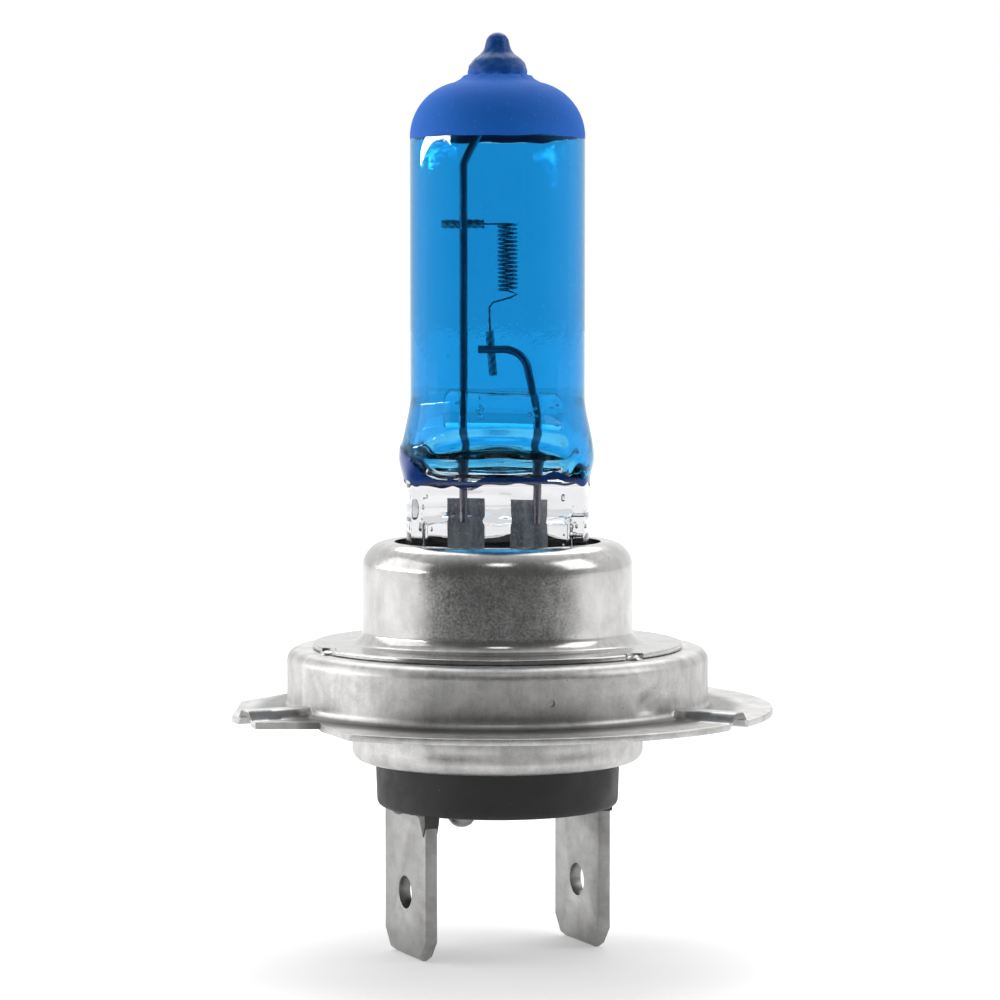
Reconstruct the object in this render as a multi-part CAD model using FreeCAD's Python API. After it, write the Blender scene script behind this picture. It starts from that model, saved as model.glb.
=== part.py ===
"""Halogen headlight bulb with a 26 mm focus ring and two blade contacts.

Millimetres. +Z runs up the bulb axis to the exhaust tip. The origin is on the axis, on the
reference plane that the three bosses of the focus ring's flange stand on.
Each sub-part is one STEP file, parts/NODE.step.
"""
import FreeCAD, Part
import math
import os

V = FreeCAD.Vector
UP = V(0, 0, 1)

# Glass bulb
TUBE_R = 5.385            # painted outside of the tube
COAT = 0.06               # thickness of the filter coat and of the opaque cap
WALL = 1.05               # glass wall of the tube
CAP_EDGE_Z = 34.3         # lower edge of the opaque cap
COAT_EDGE_Z = 13.3        # lower edge of the filter coat
DOME_R = 3.4              # rounding between tube and dome top
DOME_ARC_DEG = 78.0       # where the rounding meets the slope up to the tip
DOME_TOP_Z = 37.8
TIP_FOOT = (1.85, 38.15)  # exhaust tip: (radius, height) where it leaves the dome
TIP_CHEEK = ((1.68, 38.72), (1.3, 39.27))
TIP_NECK_MID = (0.93, 39.66)
TIP_BALL_R = 0.74         # rounded nipple on the tip
TIP_TOP_Z = 40.8
BELLY_R = 5.96            # the tube swells just above the press seal
BELLY_Z = 14.75
SWELL_Z = 18.6            # the swelling starts here
SWELL_MID = (5.535, 16.9)
SEAL_R = 5.7              # half the width of the press seal
SEAL_HALF_T = 1.9         # half its thickness, at the side ribs
SEAL_WIDE_TOP_Z = 13.2    # the seal's side edges start here
PRESS_SIDE = ((7.0, 16.4), (5.3, 16.0), (4.5, 15.1), (3.3, 14.1), (2.3, 13.4), (1.9, 13.0))
SEAL_TOP_Z = 11.0         # ledge over the pressed panel
SEAL_BOTTOM_Z = 3.7
PANEL_HALF_W = 4.5
PANEL_DEPTH = 0.4
CHAMBER_FLOOR = (2.9, 14.05)
CHAMBER_CORNER = ((4.05, 14.5), (4.5, 15.6))
CHAMBER_ROOF = ((3.4, 35.9), (1.6, 36.65))

# Wires inside the glass
FOIL_Y = 0.25             # the wires are welded to this side of the foils
FOIL_T = 0.05
FOIL_W = 2.3
FOIL_X = (-1.95, 1.95)    # middles of the left and the right foil
FOIL_TOP_Z = 12.2
FOIL_BOTTOM_Z = 4.8
LONG_X, LONG_R = -2.1, 0.225
SHORT_X, SHORT_R = 2.45, 0.25
LONG_BEND_Z = 32.8
LONG_END = (-0.5, 35.9)
LONG_BEND = 0.8
SHORT_LEAN_Z = 17.4       # the short wire leans from here to its bend
SHORT_CORNER = (1.85, 21.4)
SHORT_END_X = -1.2
SHORT_BEND = 1.3
WIRE_START = 1.4          # overlap of the wires and leads with the foils
BRIDGE_R = 1.4
BRIDGE_Z = 17.5
BRIDGE_X = (-3.3, 3.95)
BRIDGE_TILT_DEG = 1.5
BRIDGE_ROUND = 0.35
LEAD_R = 0.3
LEAD_X = (-1.9, 2.0)
LEAD_KNEE_Z = 1.6
LEAD_BEND = 1.0
LEAD_FOOT = (2.9, 0.7, -0.9)

# Filament
COIL_X = 0.6
COIL_BOTTOM_Z = 25.0      # light centre length
COIL_LENGTH = 4.1
COIL_TURNS = 16
COIL_R = 0.57             # helix radius of the wire's middle
FILAMENT_R = 0.065
SLEEVE_R = 0.3
UPPER_SLEEVE_X = (-3.5, -0.85)
LOWER_SLEEVE_Z = (19.8, 22.5)
LOWER_SLEEVE_X = (-0.12, -0.36)
LEG_BEND = 0.2
UPPER_LEG_REACH = 0.7     # from the coil's axis to where the leg runs straight
LOWER_LEG_STEP = ((0.45, 0.25), (0.99, 1.0))   # (sideways, down) from the coil's lower end

# Neck cup and holder
SHEET = 0.35
CUP_R = 8.35
CUP_TOP_Z = 9.6
CUP_ROLL = 1.6
CUP_FOOT_R = 11.4
CUP_FILLET = 0.8
SCOOP_R = 0.85
SCOOP_ANGLES = (-44.0, -155.0, 80.0)
SCOOP_X = 11.65           # its centre lies just outside the foot's edge
WELD_R = 0.55
WELD_CENTRE = (11.45, 2.75)
HOLDER_R = 7.9
HOLDER_Z = 4.6
HOLDER_PLAY = 0.1
TONGUE_W = 7.0
TONGUE_FOOT = 3.2
TONGUE_TOP_Z = 8.3

# Focus ring
RING_R = 13.0             # half of the 26 mm gauge diameter
RING_TOP_Z = 3.0
RING_SHEET = 0.4
RING_SHOULDER = 0.7
RING_HOLE_R = 8.7
RING_FILLET = 0.5
FLANGE_R = 17.0
FLANGE_TOP_Z = -0.6
BOSS_ANGLES = (-32.5, -152.5, 87.5)
BOSS_HALF_TOP = 0.55
BOSS_HALF_FOOT = 1.15
BOSS_HOLLOW_TRIM = (0.6, 0.9)   # share of the sheet taken off those half widths underneath
SIDE_FLAT = 16.0          # flat on the -X side of the flange
CORNER_FLAT = 14.74       # second flat, behind it
CORNER_FLAT_DEG = 149.4
NOTCH_CORNERS = (
    (-19.0, -9.1), (-10.6, -9.1), (-10.4, -10.4), (-7.9, -16.2), (-7.9, -19.0), (-19.0, -19.0),
)

# Base shell and insulator
SHELL_R = 9.0
SHELL_BOTTOM_Z = -3.9
SHELL_ROUND = 0.7
SHELL_LIP_R = 7.65
SHELL_FOOT_R = 11.2
BODY_R = 8.6              # insulator inside the shell
STEM_R = 7.56             # insulator below the shell
BODY_TOP_Z = 0.5
BODY_BOTTOM_Z = -6.75
WELL_R = 7.5              # filled with resin
WELL_FLOOR_Z = -3.4
BODY_EDGE = 0.35
STEM_EDGE = 0.4
STEM_DRAFT = 0.1          # the stem is this much slimmer at its lower end
RESIN_TOP_Z = 0.25
OOZE = 0.12               # collar of resin round a blade, and its height
OOZE_H = 0.3

# Contact blades: 6.3 x 0.8 mm tabs
BLADE_W, BLADE_T = 6.3, 0.8
BLADE_X = 5.84            # half the distance between the two blades' middles
BLADE_TURN_DEG = 24.5
BLADE_BOTTOM_Z = -15.8
BLADE_FOOT = 4.2          # length of the foot that is bent inwards
DETENT_R = 1.0
DETENT_Z = -11.85
CORNER_CUT = (1.0, 1.3)   # the two lower corners
LEAD_IN = (0.25, 0.5)     # bevel on both faces at the lower edge
RIVET_XY = (3.04, 1.36)   # in the blade's own axes
RIVET_R = 0.6
RIVET_HEAD_R = 0.9
RIVET_HEAD_H = 1.1
UPPER_HEAD_H = 0.5
SHANK_OVERRUN = 0.3


def at_xz(point):
    return V(point[0], 0, point[1])


def on_circle(centre, radius, deg):
    angle = math.radians(deg)
    return (centre[0] + radius * math.cos(angle), centre[1] + radius * math.sin(angle))


def arc(centre, radius, start_deg, end_deg):
    """An arc step for outline(): its middle and its end point."""
    middle_deg = (start_deg + end_deg) / 2
    return on_circle(centre, radius, middle_deg), on_circle(centre, radius, end_deg)


def outline(start, *steps):
    """Closed face in the XZ plane. A step is an end point, or (middle, end) for an arc."""
    edges = []
    here = start
    for step in steps + (start,):
        if isinstance(step[0], tuple):
            end = step[1]
            edges.append(Part.Arc(at_xz(here), at_xz(step[0]), at_xz(end)).toShape())
        else:
            end = step
            if (at_xz(end) - at_xz(here)).Length > 1e-6:
                edges.append(Part.makeLine(at_xz(here), at_xz(end)))
        here = end
    return Part.Face(Part.Wire(edges))


def turned(*args):
    return outline(*args).revolve(V(0, 0, 0), UP, 360)


def cylinder(radius, bottom_z, top_z, x=0.0, y=0.0):
    return Part.makeCylinder(radius, top_z - bottom_z, V(x, y, bottom_z), UP)


def block(x, y, z):
    """Box from (low, high) pairs."""
    return Part.makeBox(x[1] - x[0], y[1] - y[0], z[1] - z[0], V(x[0], y[0], z[0]))


def rotated(shape, degrees):
    copy = shape.copy()
    copy.rotate(V(0, 0, 0), UP, degrees)
    return copy


def prism(points, bottom_z, top_z):
    corners = [V(x, y, bottom_z) for x, y in points]
    face = Part.Face(Part.makePolygon(corners + corners[:1]))
    return face.extrude(V(0, 0, top_z - bottom_z))


def bent_wire(points, radius, bend):
    """Round wire along straight runs joined by tangent arcs of the given bend radius."""
    points = [V(*p) for p in points]
    edges = []
    here = points[0]
    for before, corner, after in zip(points, points[1:], points[2:]):
        back = (before - corner).normalize()
        ahead = (after - corner).normalize()
        half = back.getAngle(ahead) / 2
        reach = bend / math.tan(half)
        start, end = corner + back * reach, corner + ahead * reach
        middle_dir = (back + ahead).normalize()
        middle = corner + middle_dir * (bend / math.sin(half) - bend)
        edges.append(Part.makeLine(here, start))
        edges.append(Part.Arc(start, middle, end).toShape())
        here = end
    edges.append(Part.makeLine(here, points[-1]))
    path = Part.Wire(edges)
    section = Part.Wire(Part.makeCircle(radius, points[0], points[1] - points[0]))
    return path.makePipeShell([section], True, True)


def bulb_body(skin):
    """The bulb's outside down to the press seal's bottom, drawn in by skin."""
    def inset(point):
        return (point[0] - skin, point[1])

    dome_centre = (TUBE_R - DOME_R, DOME_TOP_Z - DOME_R)
    ball_centre = (0, TIP_TOP_Z - TIP_BALL_R)
    cheek_mid, cheek_end = TIP_CHEEK
    round_body = turned(
        (0, SEAL_BOTTOM_Z),
        (SEAL_R - skin, SEAL_BOTTOM_Z),
        (SEAL_R - skin, SEAL_WIDE_TOP_Z),
        (inset((BELLY_R, BELLY_Z - 0.15)), inset((BELLY_R - 0.06, BELLY_Z + 0.45))),
        (inset(SWELL_MID), inset((TUBE_R, SWELL_Z))),
        (TUBE_R - skin, dome_centre[1]),
        arc(dome_centre, DOME_R - skin, 0, DOME_ARC_DEG),
        inset((TIP_FOOT[0], TIP_FOOT[1] - skin)),
        (inset(cheek_mid), inset(cheek_end)),
        (inset(TIP_NECK_MID), on_circle(ball_centre, TIP_BALL_R - skin, 0)),
        arc(ball_centre, TIP_BALL_R - skin, 0, 90),
    )
    panels = [
        block((-PANEL_HALF_W, PANEL_HALF_W),
              (side * SEAL_HALF_T - PANEL_DEPTH, side * SEAL_HALF_T + PANEL_DEPTH),
              (SEAL_BOTTOM_Z - 1, SEAL_TOP_Z - 0.4))
        for side in (-1, 1)
    ]
    return round_body.common(pressed(0.0)).cut(panels)


def pressed(wall):
    """What the press leaves, seen from the side: full width above, a slab below; less a wall."""
    wide = PRESS_SIDE[0][0]
    half = [(wide, TIP_TOP_Z + 1)]
    half += [(y - wall, z) for y, z in PRESS_SIDE]
    half += [(PRESS_SIDE[-1][0] - wall, SEAL_BOTTOM_Z - 1)]
    corners = [V(-wide, y, z) for y, z in half] + [V(-wide, -y, z) for y, z in reversed(half)]
    return Part.Face(Part.makePolygon(corners + corners[:1])).extrude(V(2 * wide, 0, 0))


def chamber():
    """The gas space inside the bulb."""
    inner = TUBE_R - WALL
    roof_z = CHAMBER_ROOF[1][1]
    space = turned(
        (0, CHAMBER_FLOOR[1]),
        CHAMBER_FLOOR,
        CHAMBER_CORNER,
        (inner, SWELL_Z),
        (inner, DOME_TOP_Z - DOME_R),
        CHAMBER_ROOF,
        (0, roof_z + 0.1),
    )
    return space.common(pressed(WALL))


def long_support_wire():
    y = FOIL_Y - LONG_R
    return bent_wire([
        (LONG_X, y, FOIL_TOP_Z - WIRE_START),
        (LONG_X, y, LONG_BEND_Z),
        (LONG_END[0], y, LONG_END[1]),
    ], LONG_R, LONG_BEND)


def short_support_wire():
    y = FOIL_Y - SHORT_R
    corner_x, top_z = SHORT_CORNER
    return bent_wire([
        (SHORT_X, y, FOIL_TOP_Z - WIRE_START),
        (SHORT_X, y, SHORT_LEAN_Z),
        (corner_x, y, top_z),
        (SHORT_END_X, y, top_z),
    ], SHORT_R, SHORT_BEND)


def quartz_bridge(wires):
    low, high = BRIDGE_X
    rod = Part.makeCylinder(BRIDGE_R, high - low, V(low, 0, BRIDGE_Z), V(1, 0, 0))
    ends = [edge for edge in rod.Edges if edge.Closed]
    rod = rod.makeFillet(BRIDGE_ROUND, ends)
    rod.rotate(V(0, 0, BRIDGE_Z), V(0, 1, 0), BRIDGE_TILT_DEG)
    return rod.cut(wires)


def foil(middle_x):
    half = FOIL_W / 2
    return block((middle_x - half, middle_x + half), (FOIL_Y, FOIL_Y + FOIL_T),
                 (FOIL_BOTTOM_Z, FOIL_TOP_Z))


def outer_lead(side):
    """Pin from a foil down to the blade foot on the same side."""
    x = LEAD_X[0] if side < 0 else LEAD_X[1]
    y = FOIL_Y - LEAD_R
    foot_x, foot_y, foot_z = LEAD_FOOT
    return bent_wire([
        (x, y, FOIL_BOTTOM_Z + WIRE_START),
        (x, y, LEAD_KNEE_Z),
        (side * foot_x, side * foot_y, foot_z),
        (side * foot_x, side * foot_y, WELL_FLOOR_Z + BLADE_T),
    ], LEAD_R, LEAD_BEND)


def filament_points():
    """The two leg routes: top of the coil to the upper sleeve, bottom to the lower one."""
    rear = COIL_R
    top = COIL_BOTTOM_Z + COIL_LENGTH
    sleeve_y = FOIL_Y + SLEEVE_R
    upper = [
        (COIL_X, rear, top),
        (COIL_X - UPPER_LEG_REACH, sleeve_y, top),
        (UPPER_SLEEVE_X[0], sleeve_y, top),
    ]
    lower = [(COIL_X, rear, COIL_BOTTOM_Z)]
    lower += [(COIL_X - sideways, sleeve_y, COIL_BOTTOM_Z - down) for sideways, down in LOWER_LEG_STEP]
    lower += [
        (LOWER_SLEEVE_X[1], sleeve_y, LOWER_SLEEVE_Z[1]),
        (LOWER_SLEEVE_X[0], sleeve_y, LOWER_SLEEVE_Z[0]),
    ]
    return upper, lower


def filament_coil():
    helix = Part.makeHelix(COIL_LENGTH / COIL_TURNS, COIL_LENGTH, COIL_R)
    helix.rotate(V(0, 0, 0), UP, 90)
    helix.translate(V(COIL_X, 0, COIL_BOTTOM_Z))
    start = V(COIL_X, COIL_R, COIL_BOTTOM_Z)
    section = Part.Wire(Part.makeCircle(FILAMENT_R, start, V(-1, 0, 0)))
    coil = helix.makePipeShell([section], True, True)
    upper, lower = filament_points()
    legs = [bent_wire(upper, FILAMENT_R, LEG_BEND), bent_wire(lower, FILAMENT_R, LEG_BEND)]
    caps = [Part.makeSphere(FILAMENT_R, V(*points[0])) for points in (upper, lower)]
    return coil.fuse(legs + caps)


def sleeve(start, end):
    """Tube over a filament leg."""
    along = V(*end) - V(*start)
    outside = Part.makeCylinder(SLEEVE_R, along.Length, V(*start), along)
    return outside.cut(Part.makeCylinder(FILAMENT_R, along.Length, V(*start), along))


def upper_leg_sleeve():
    z = COIL_BOTTOM_Z + COIL_LENGTH
    y = FOIL_Y + SLEEVE_R
    return sleeve((UPPER_SLEEVE_X[0], y, z), (UPPER_SLEEVE_X[1], y, z))


def lower_leg_sleeve():
    y = FOIL_Y + SLEEVE_R
    low, high = LOWER_SLEEVE_Z
    return sleeve((LOWER_SLEEVE_X[0], y, low), (LOWER_SLEEVE_X[1], y, high))


def neck_cup():
    """Pressed cup around the seal: rolled-in rim, straight wall, flat foot with three scoops."""
    foot_top = RING_TOP_Z + SHEET
    fillet = (CUP_R + CUP_FILLET, foot_top + CUP_FILLET)
    roll = (CUP_R - CUP_ROLL, CUP_TOP_Z - CUP_ROLL)
    cup = turned(
        (CUP_FOOT_R, RING_TOP_Z),
        (CUP_FOOT_R, foot_top),
        (fillet[0], foot_top),
        arc(fillet, CUP_FILLET, -90, -180),
        (CUP_R, roll[1]),
        arc(roll, CUP_ROLL, 0, 100),
        on_circle(roll, CUP_ROLL - SHEET, 100),
        arc(roll, CUP_ROLL - SHEET, 100, 0),
        (CUP_R - SHEET, fillet[1]),
        arc(fillet, CUP_FILLET + SHEET, -180, -90),
    )
    scoops = [
        rotated(cylinder(SCOOP_R, RING_TOP_Z - 1, foot_top + 1, SCOOP_X), angle)
        for angle in SCOOP_ANGLES
    ]
    return cup.cut(scoops)


def ring_welds():
    """Weld nuggets that fasten the cup's foot to the ring, one in each scoop."""
    nuggets = []
    for angle in SCOOP_ANGLES:
        nugget = Part.makeSphere(WELD_R, at_xz(WELD_CENTRE))
        nugget = nugget.common(block((10, 13), (-1, 1), (RING_TOP_Z, RING_TOP_Z + 1)))
        nuggets.append(rotated(nugget, angle))
    return Part.makeCompound(nuggets)


def holder_plate():
    """Washer welded inside the cup, with a slot for the press seal."""
    plate = cylinder(HOLDER_R, HOLDER_Z, HOLDER_Z + SHEET)
    half_w, half_t = SEAL_R + HOLDER_PLAY, SEAL_HALF_T + HOLDER_PLAY
    slot = block((-half_w, half_w), (-half_t, half_t), (HOLDER_Z - 1, HOLDER_Z + 1))
    return plate.cut(slot)


def holder_tongue(side):
    """Spring tongue on the holder plate that presses on one face of the seal."""
    grip = SEAL_HALF_T - PANEL_DEPTH
    foot_z = HOLDER_Z + SHEET
    upright = block((-TONGUE_W / 2, TONGUE_W / 2), (grip, grip + SHEET), (foot_z, TONGUE_TOP_Z))
    foot = block((-TONGUE_W / 2, TONGUE_W / 2), (grip, grip + TONGUE_FOOT), (foot_z, foot_z + SHEET))
    tongue = upright.fuse(foot).removeSplitter()
    return rotated(tongue, 180) if side < 0 else tongue


def focus_ring():
    """Gauge ring: top plate, 26 mm wall, flange with three bosses, two flats and a notch."""
    flange_bottom = FLANGE_TOP_Z - RING_SHEET
    shoulder = (RING_R - RING_SHOULDER, RING_TOP_Z - RING_SHOULDER)
    fillet = (RING_R + RING_FILLET, FLANGE_TOP_Z + RING_FILLET)
    ring = turned(
        (RING_HOLE_R, RING_TOP_Z),
        (shoulder[0], RING_TOP_Z),
        arc(shoulder, RING_SHOULDER, 90, 0),
        (RING_R, fillet[1]),
        arc(fillet, RING_FILLET, 180, 270),
        (FLANGE_R, FLANGE_TOP_Z),
        (FLANGE_R, flange_bottom),
        (fillet[0], flange_bottom),
        arc(fillet, RING_FILLET + RING_SHEET, 270, 180),
        (RING_R - RING_SHEET, shoulder[1]),
        arc(shoulder, RING_SHOULDER - RING_SHEET, 0, 90),
        (RING_HOLE_R, RING_TOP_Z - RING_SHEET),
    )
    ring = ring.fuse([rotated(boss(RING_R - 0.2, 0.0, 0.0), angle) for angle in BOSS_ANGLES])
    ring = ring.cut([
        rotated(boss(RING_R + 0.6, RING_SHEET, 1.0), angle) for angle in BOSS_ANGLES
    ])
    ring = ring.common(cylinder(FLANGE_R, flange_bottom - 1, RING_TOP_Z + 1))
    flats = [
        rotated(block((SIDE_FLAT, 20), (-20, 20), (-3, 2)), 180),
        rotated(block((CORNER_FLAT, 20), (-20, 20), (-3, 2)), CORNER_FLAT_DEG),
    ]
    return ring.cut(flats + [prism(NOTCH_CORNERS, -3, 2)]).removeSplitter()


def boss(inner_r, inset, overrun):
    """Radial boss on the flange along +X; inset is the sheet left over its hollow."""
    flange_bottom = FLANGE_TOP_Z - RING_SHEET
    trim_top, trim_foot = BOSS_HOLLOW_TRIM
    foot = BOSS_HALF_FOOT - inset * trim_foot
    top = BOSS_HALF_TOP - inset * trim_top
    foot_z = flange_bottom - overrun if inset else FLANGE_TOP_Z - 0.1
    foot_w = foot + (overrun if inset else 0.1)
    corners = [
        V(inner_r, -foot_w, foot_z), V(inner_r, -top, -inset),
        V(inner_r, top, -inset), V(inner_r, foot_w, foot_z),
    ]
    section = Part.Face(Part.makePolygon(corners + corners[:1]))
    return section.extrude(V(FLANGE_R + 2 - inner_r, 0, 0))


def base_shell():
    """Pressed shell around the insulator, its foot flange welded under the ring's top plate."""
    inner = SHELL_R - SHEET
    foot_top = RING_TOP_Z - RING_SHEET
    knee = (SHELL_R - SHELL_ROUND, SHELL_BOTTOM_Z + SHELL_ROUND)
    return turned(
        (SHELL_LIP_R, SHELL_BOTTOM_Z),
        (knee[0], SHELL_BOTTOM_Z),
        arc(knee, SHELL_ROUND, -90, 0),
        (SHELL_R, foot_top - SHEET),
        (SHELL_FOOT_R, foot_top - SHEET),
        (SHELL_FOOT_R, foot_top),
        (inner, foot_top),
        (inner, knee[1]),
        arc(knee, SHELL_ROUND - SHEET, 0, -90),
        (SHELL_LIP_R, SHELL_BOTTOM_Z + SHEET),
    )


def rivet():
    """Rivet through a blade foot and the insulator floor, in the blade's own axes."""
    x, y = RIVET_XY
    foot_top = WELL_FLOOR_Z + BLADE_T
    shank = cylinder(RIVET_R, BODY_BOTTOM_Z - SHANK_OVERRUN, foot_top + SHANK_OVERRUN, x, y)
    upper_head = cylinder(RIVET_HEAD_R, foot_top, foot_top + UPPER_HEAD_H, x, y)
    ball = Part.makeSphere(RIVET_HEAD_H, V(x, y, BODY_BOTTOM_Z))
    dome = ball.common(cylinder(RIVET_HEAD_R, BODY_BOTTOM_Z - 2, BODY_BOTTOM_Z, x, y))
    return shank.fuse([upper_head, dome]).removeSplitter()


def contact_blade():
    """Right-hand blade in its own axes: standing at +X, broad face along Y."""
    half_w, half_t = BLADE_W / 2, BLADE_T / 2
    cut_w, cut_h = CORNER_CUT
    top = WELL_FLOOR_Z + BLADE_T
    face = [
        (-half_w, top), (-half_w, BLADE_BOTTOM_Z + cut_h), (-half_w + cut_w, BLADE_BOTTOM_Z),
        (half_w - cut_w, BLADE_BOTTOM_Z), (half_w, BLADE_BOTTOM_Z + cut_h), (half_w, top),
    ]
    corners = [V(BLADE_X - half_t, y, z) for y, z in face]
    blade = Part.Face(Part.makePolygon(corners + corners[:1])).extrude(V(BLADE_T, 0, 0))
    bevel_t, bevel_h = LEAD_IN
    edge_side = [
        V(BLADE_X + half_t - bevel_t, -half_w, BLADE_BOTTOM_Z),
        V(BLADE_X + half_t + bevel_t, -half_w, BLADE_BOTTOM_Z - bevel_h),
        V(BLADE_X + half_t + bevel_t, -half_w, BLADE_BOTTOM_Z + bevel_h * 2),
        V(BLADE_X + half_t, -half_w, BLADE_BOTTOM_Z + bevel_h),
    ]
    bevel = Part.Face(Part.makePolygon(edge_side + edge_side[:1])).extrude(V(0, BLADE_W, 0))
    other = bevel.mirror(V(BLADE_X, 0, 0), V(1, 0, 0))
    foot = block((BLADE_X - BLADE_FOOT, BLADE_X), (-half_w, half_w), (WELL_FLOOR_Z, top))
    detent = Part.makeCylinder(DETENT_R, 4, V(BLADE_X - 2, 0, DETENT_Z), V(1, 0, 0))
    x, y = RIVET_XY
    rivet_hole = cylinder(RIVET_R, WELL_FLOOR_Z - 1, top + 1, x, y)
    return blade.fuse(foot).cut([bevel, other, detent, rivet_hole]).removeSplitter()


def both_sides(shape):
    """The right-hand copy and the left-hand copy, turned to the blades' real angle."""
    return [rotated(shape, BLADE_TURN_DEG), rotated(shape, BLADE_TURN_DEG + 180)]


def insulator(embedded):
    """Moulded body: a stem below the shell, a wider body inside it and a well for the resin."""
    lower_r = STEM_R - STEM_DRAFT
    edge_centre = (lower_r - STEM_EDGE, BODY_BOTTOM_Z + STEM_EDGE)
    body = turned(
        (0, BODY_BOTTOM_Z),
        (edge_centre[0], BODY_BOTTOM_Z),
        arc(edge_centre, STEM_EDGE, -90, 0),
        (STEM_R, SHELL_BOTTOM_Z + SHEET),
        (BODY_R - BODY_EDGE, SHELL_BOTTOM_Z + SHEET),
        (BODY_R, SHELL_BOTTOM_Z + SHEET + BODY_EDGE),
        (BODY_R, BODY_TOP_Z),
        (WELL_R, BODY_TOP_Z),
        (WELL_R, WELL_FLOOR_Z),
        (0, WELL_FLOOR_Z),
    )
    return body.cut(embedded)


def potting_resin(embedded):
    """Resin that fills the well, and the collars that it leaves where the blades come out."""
    fill = cylinder(WELL_R, WELL_FLOOR_Z, RESIN_TOP_Z)
    half_w, half_t = BLADE_W / 2 + OOZE, BLADE_T / 2 + OOZE
    collar = block((BLADE_X - half_t, BLADE_X + half_t), (-half_w, half_w),
                   (BODY_BOTTOM_Z - OOZE_H, BODY_BOTTOM_Z))
    return Part.makeCompound([fill.cut(embedded)] + [c.cut(embedded) for c in both_sides(collar)])


def save(name, shape):
    shape.exportStep(os.path.join("parts", name + ".step"))


def main():
    os.makedirs("parts", exist_ok=True)

    long_wire, short_wire = long_support_wire(), short_support_wire()
    foils = {"foil_left": foil(FOIL_X[0]), "foil_right": foil(FOIL_X[1])}
    leads = {"outer_lead_left": outer_lead(-1), "outer_lead_right": outer_lead(1)}
    in_glass = [long_wire, short_wire] + list(foils.values()) + list(leads.values())

    painted = bulb_body(0.0)
    glass = bulb_body(COAT)
    skin = painted.cut(glass)
    tube_band = cylinder(7, COAT_EDGE_Z, CAP_EDGE_Z)
    cap_band = cylinder(7, CAP_EDGE_Z, TIP_TOP_Z + 1)
    save("quartz_envelope", glass.cut([chamber()] + in_glass))
    save("blue_filter_coat", skin.common(tube_band))
    save("opaque_cap_coat", skin.common(cap_band))

    save("long_support_wire", long_wire)
    save("short_support_wire", short_wire)
    save("quartz_bridge", quartz_bridge([long_wire, short_wire]))
    for name, shape in list(foils.items()) + list(leads.items()):
        save(name, shape)
    save("filament_coil", filament_coil())
    save("upper_leg_sleeve", upper_leg_sleeve())
    save("lower_leg_sleeve", lower_leg_sleeve())

    save("neck_cup", neck_cup())
    save("ring_welds", ring_welds())
    save("holder_plate", holder_plate())
    save("holder_tongue_front", holder_tongue(-1))
    save("holder_tongue_rear", holder_tongue(1))
    save("focus_ring", focus_ring())
    save("base_shell", base_shell())

    right_blade, left_blade = both_sides(contact_blade())
    rivets = both_sides(rivet())
    save("contact_blade_right", right_blade)
    save("contact_blade_left", left_blade)
    save("blade_rivets", Part.makeCompound(rivets))
    embedded = [right_blade, left_blade] + rivets
    save("insulator", insulator(embedded))
    save("potting_resin", potting_resin(embedded + list(leads.values())))


main()
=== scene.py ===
import bpy
import bmesh
import math
import random
from mathutils import Matrix, Quaternion, Vector, noise


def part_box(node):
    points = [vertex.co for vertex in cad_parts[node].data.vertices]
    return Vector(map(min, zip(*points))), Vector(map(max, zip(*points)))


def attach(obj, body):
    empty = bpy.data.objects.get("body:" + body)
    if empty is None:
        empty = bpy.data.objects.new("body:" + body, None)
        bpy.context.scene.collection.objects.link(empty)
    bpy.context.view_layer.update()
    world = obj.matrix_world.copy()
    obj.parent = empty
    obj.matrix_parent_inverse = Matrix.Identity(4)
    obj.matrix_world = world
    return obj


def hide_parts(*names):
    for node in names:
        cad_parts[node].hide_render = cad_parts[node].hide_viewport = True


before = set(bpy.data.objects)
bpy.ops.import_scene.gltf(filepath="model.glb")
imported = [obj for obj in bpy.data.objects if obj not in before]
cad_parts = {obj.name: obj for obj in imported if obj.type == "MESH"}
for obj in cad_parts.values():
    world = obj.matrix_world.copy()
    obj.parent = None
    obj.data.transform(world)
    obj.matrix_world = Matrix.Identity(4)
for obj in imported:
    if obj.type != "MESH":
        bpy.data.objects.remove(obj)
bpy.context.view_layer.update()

MM = 0.001

# ---------------------------------------------------------------- sizes taken from the frame
cap_low, cap_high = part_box("opaque_cap_coat")
coat_low, coat_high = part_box("blue_filter_coat")
glass_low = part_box("quartz_envelope")[0]
cup_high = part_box("neck_cup")[1]
ring_low, ring_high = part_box("focus_ring")
shell_low, shell_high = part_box("base_shell")
body_low, body_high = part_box("insulator")
blade_low, blade_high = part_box("contact_blade_right")
upper_sleeve_low, upper_sleeve_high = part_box("upper_leg_sleeve")
lower_sleeve_low, lower_sleeve_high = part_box("lower_leg_sleeve")
bridge_low, bridge_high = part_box("quartz_bridge")

TUBE_R = cap_high.x
CAP_EDGE_Z = cap_low.z
TIP_TOP_Z = cap_high.z
BELLY_R = coat_high.x
COAT_EDGE_Z = coat_low.z
SEAL_BOTTOM_Z = glass_low.z
CUP_FOOT_R = cup_high.x
CUP_TOP_Z = cup_high.z
RING_TOP_Z = ring_high.z
FLANGE_R = ring_high.x
FLANGE_BOTTOM_Z = ring_low.z
SHELL_BOTTOM_Z = shell_low.z
BODY_BOTTOM_Z = body_low.z
BLADE_BOTTOM_Z = blade_low.z

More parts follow.
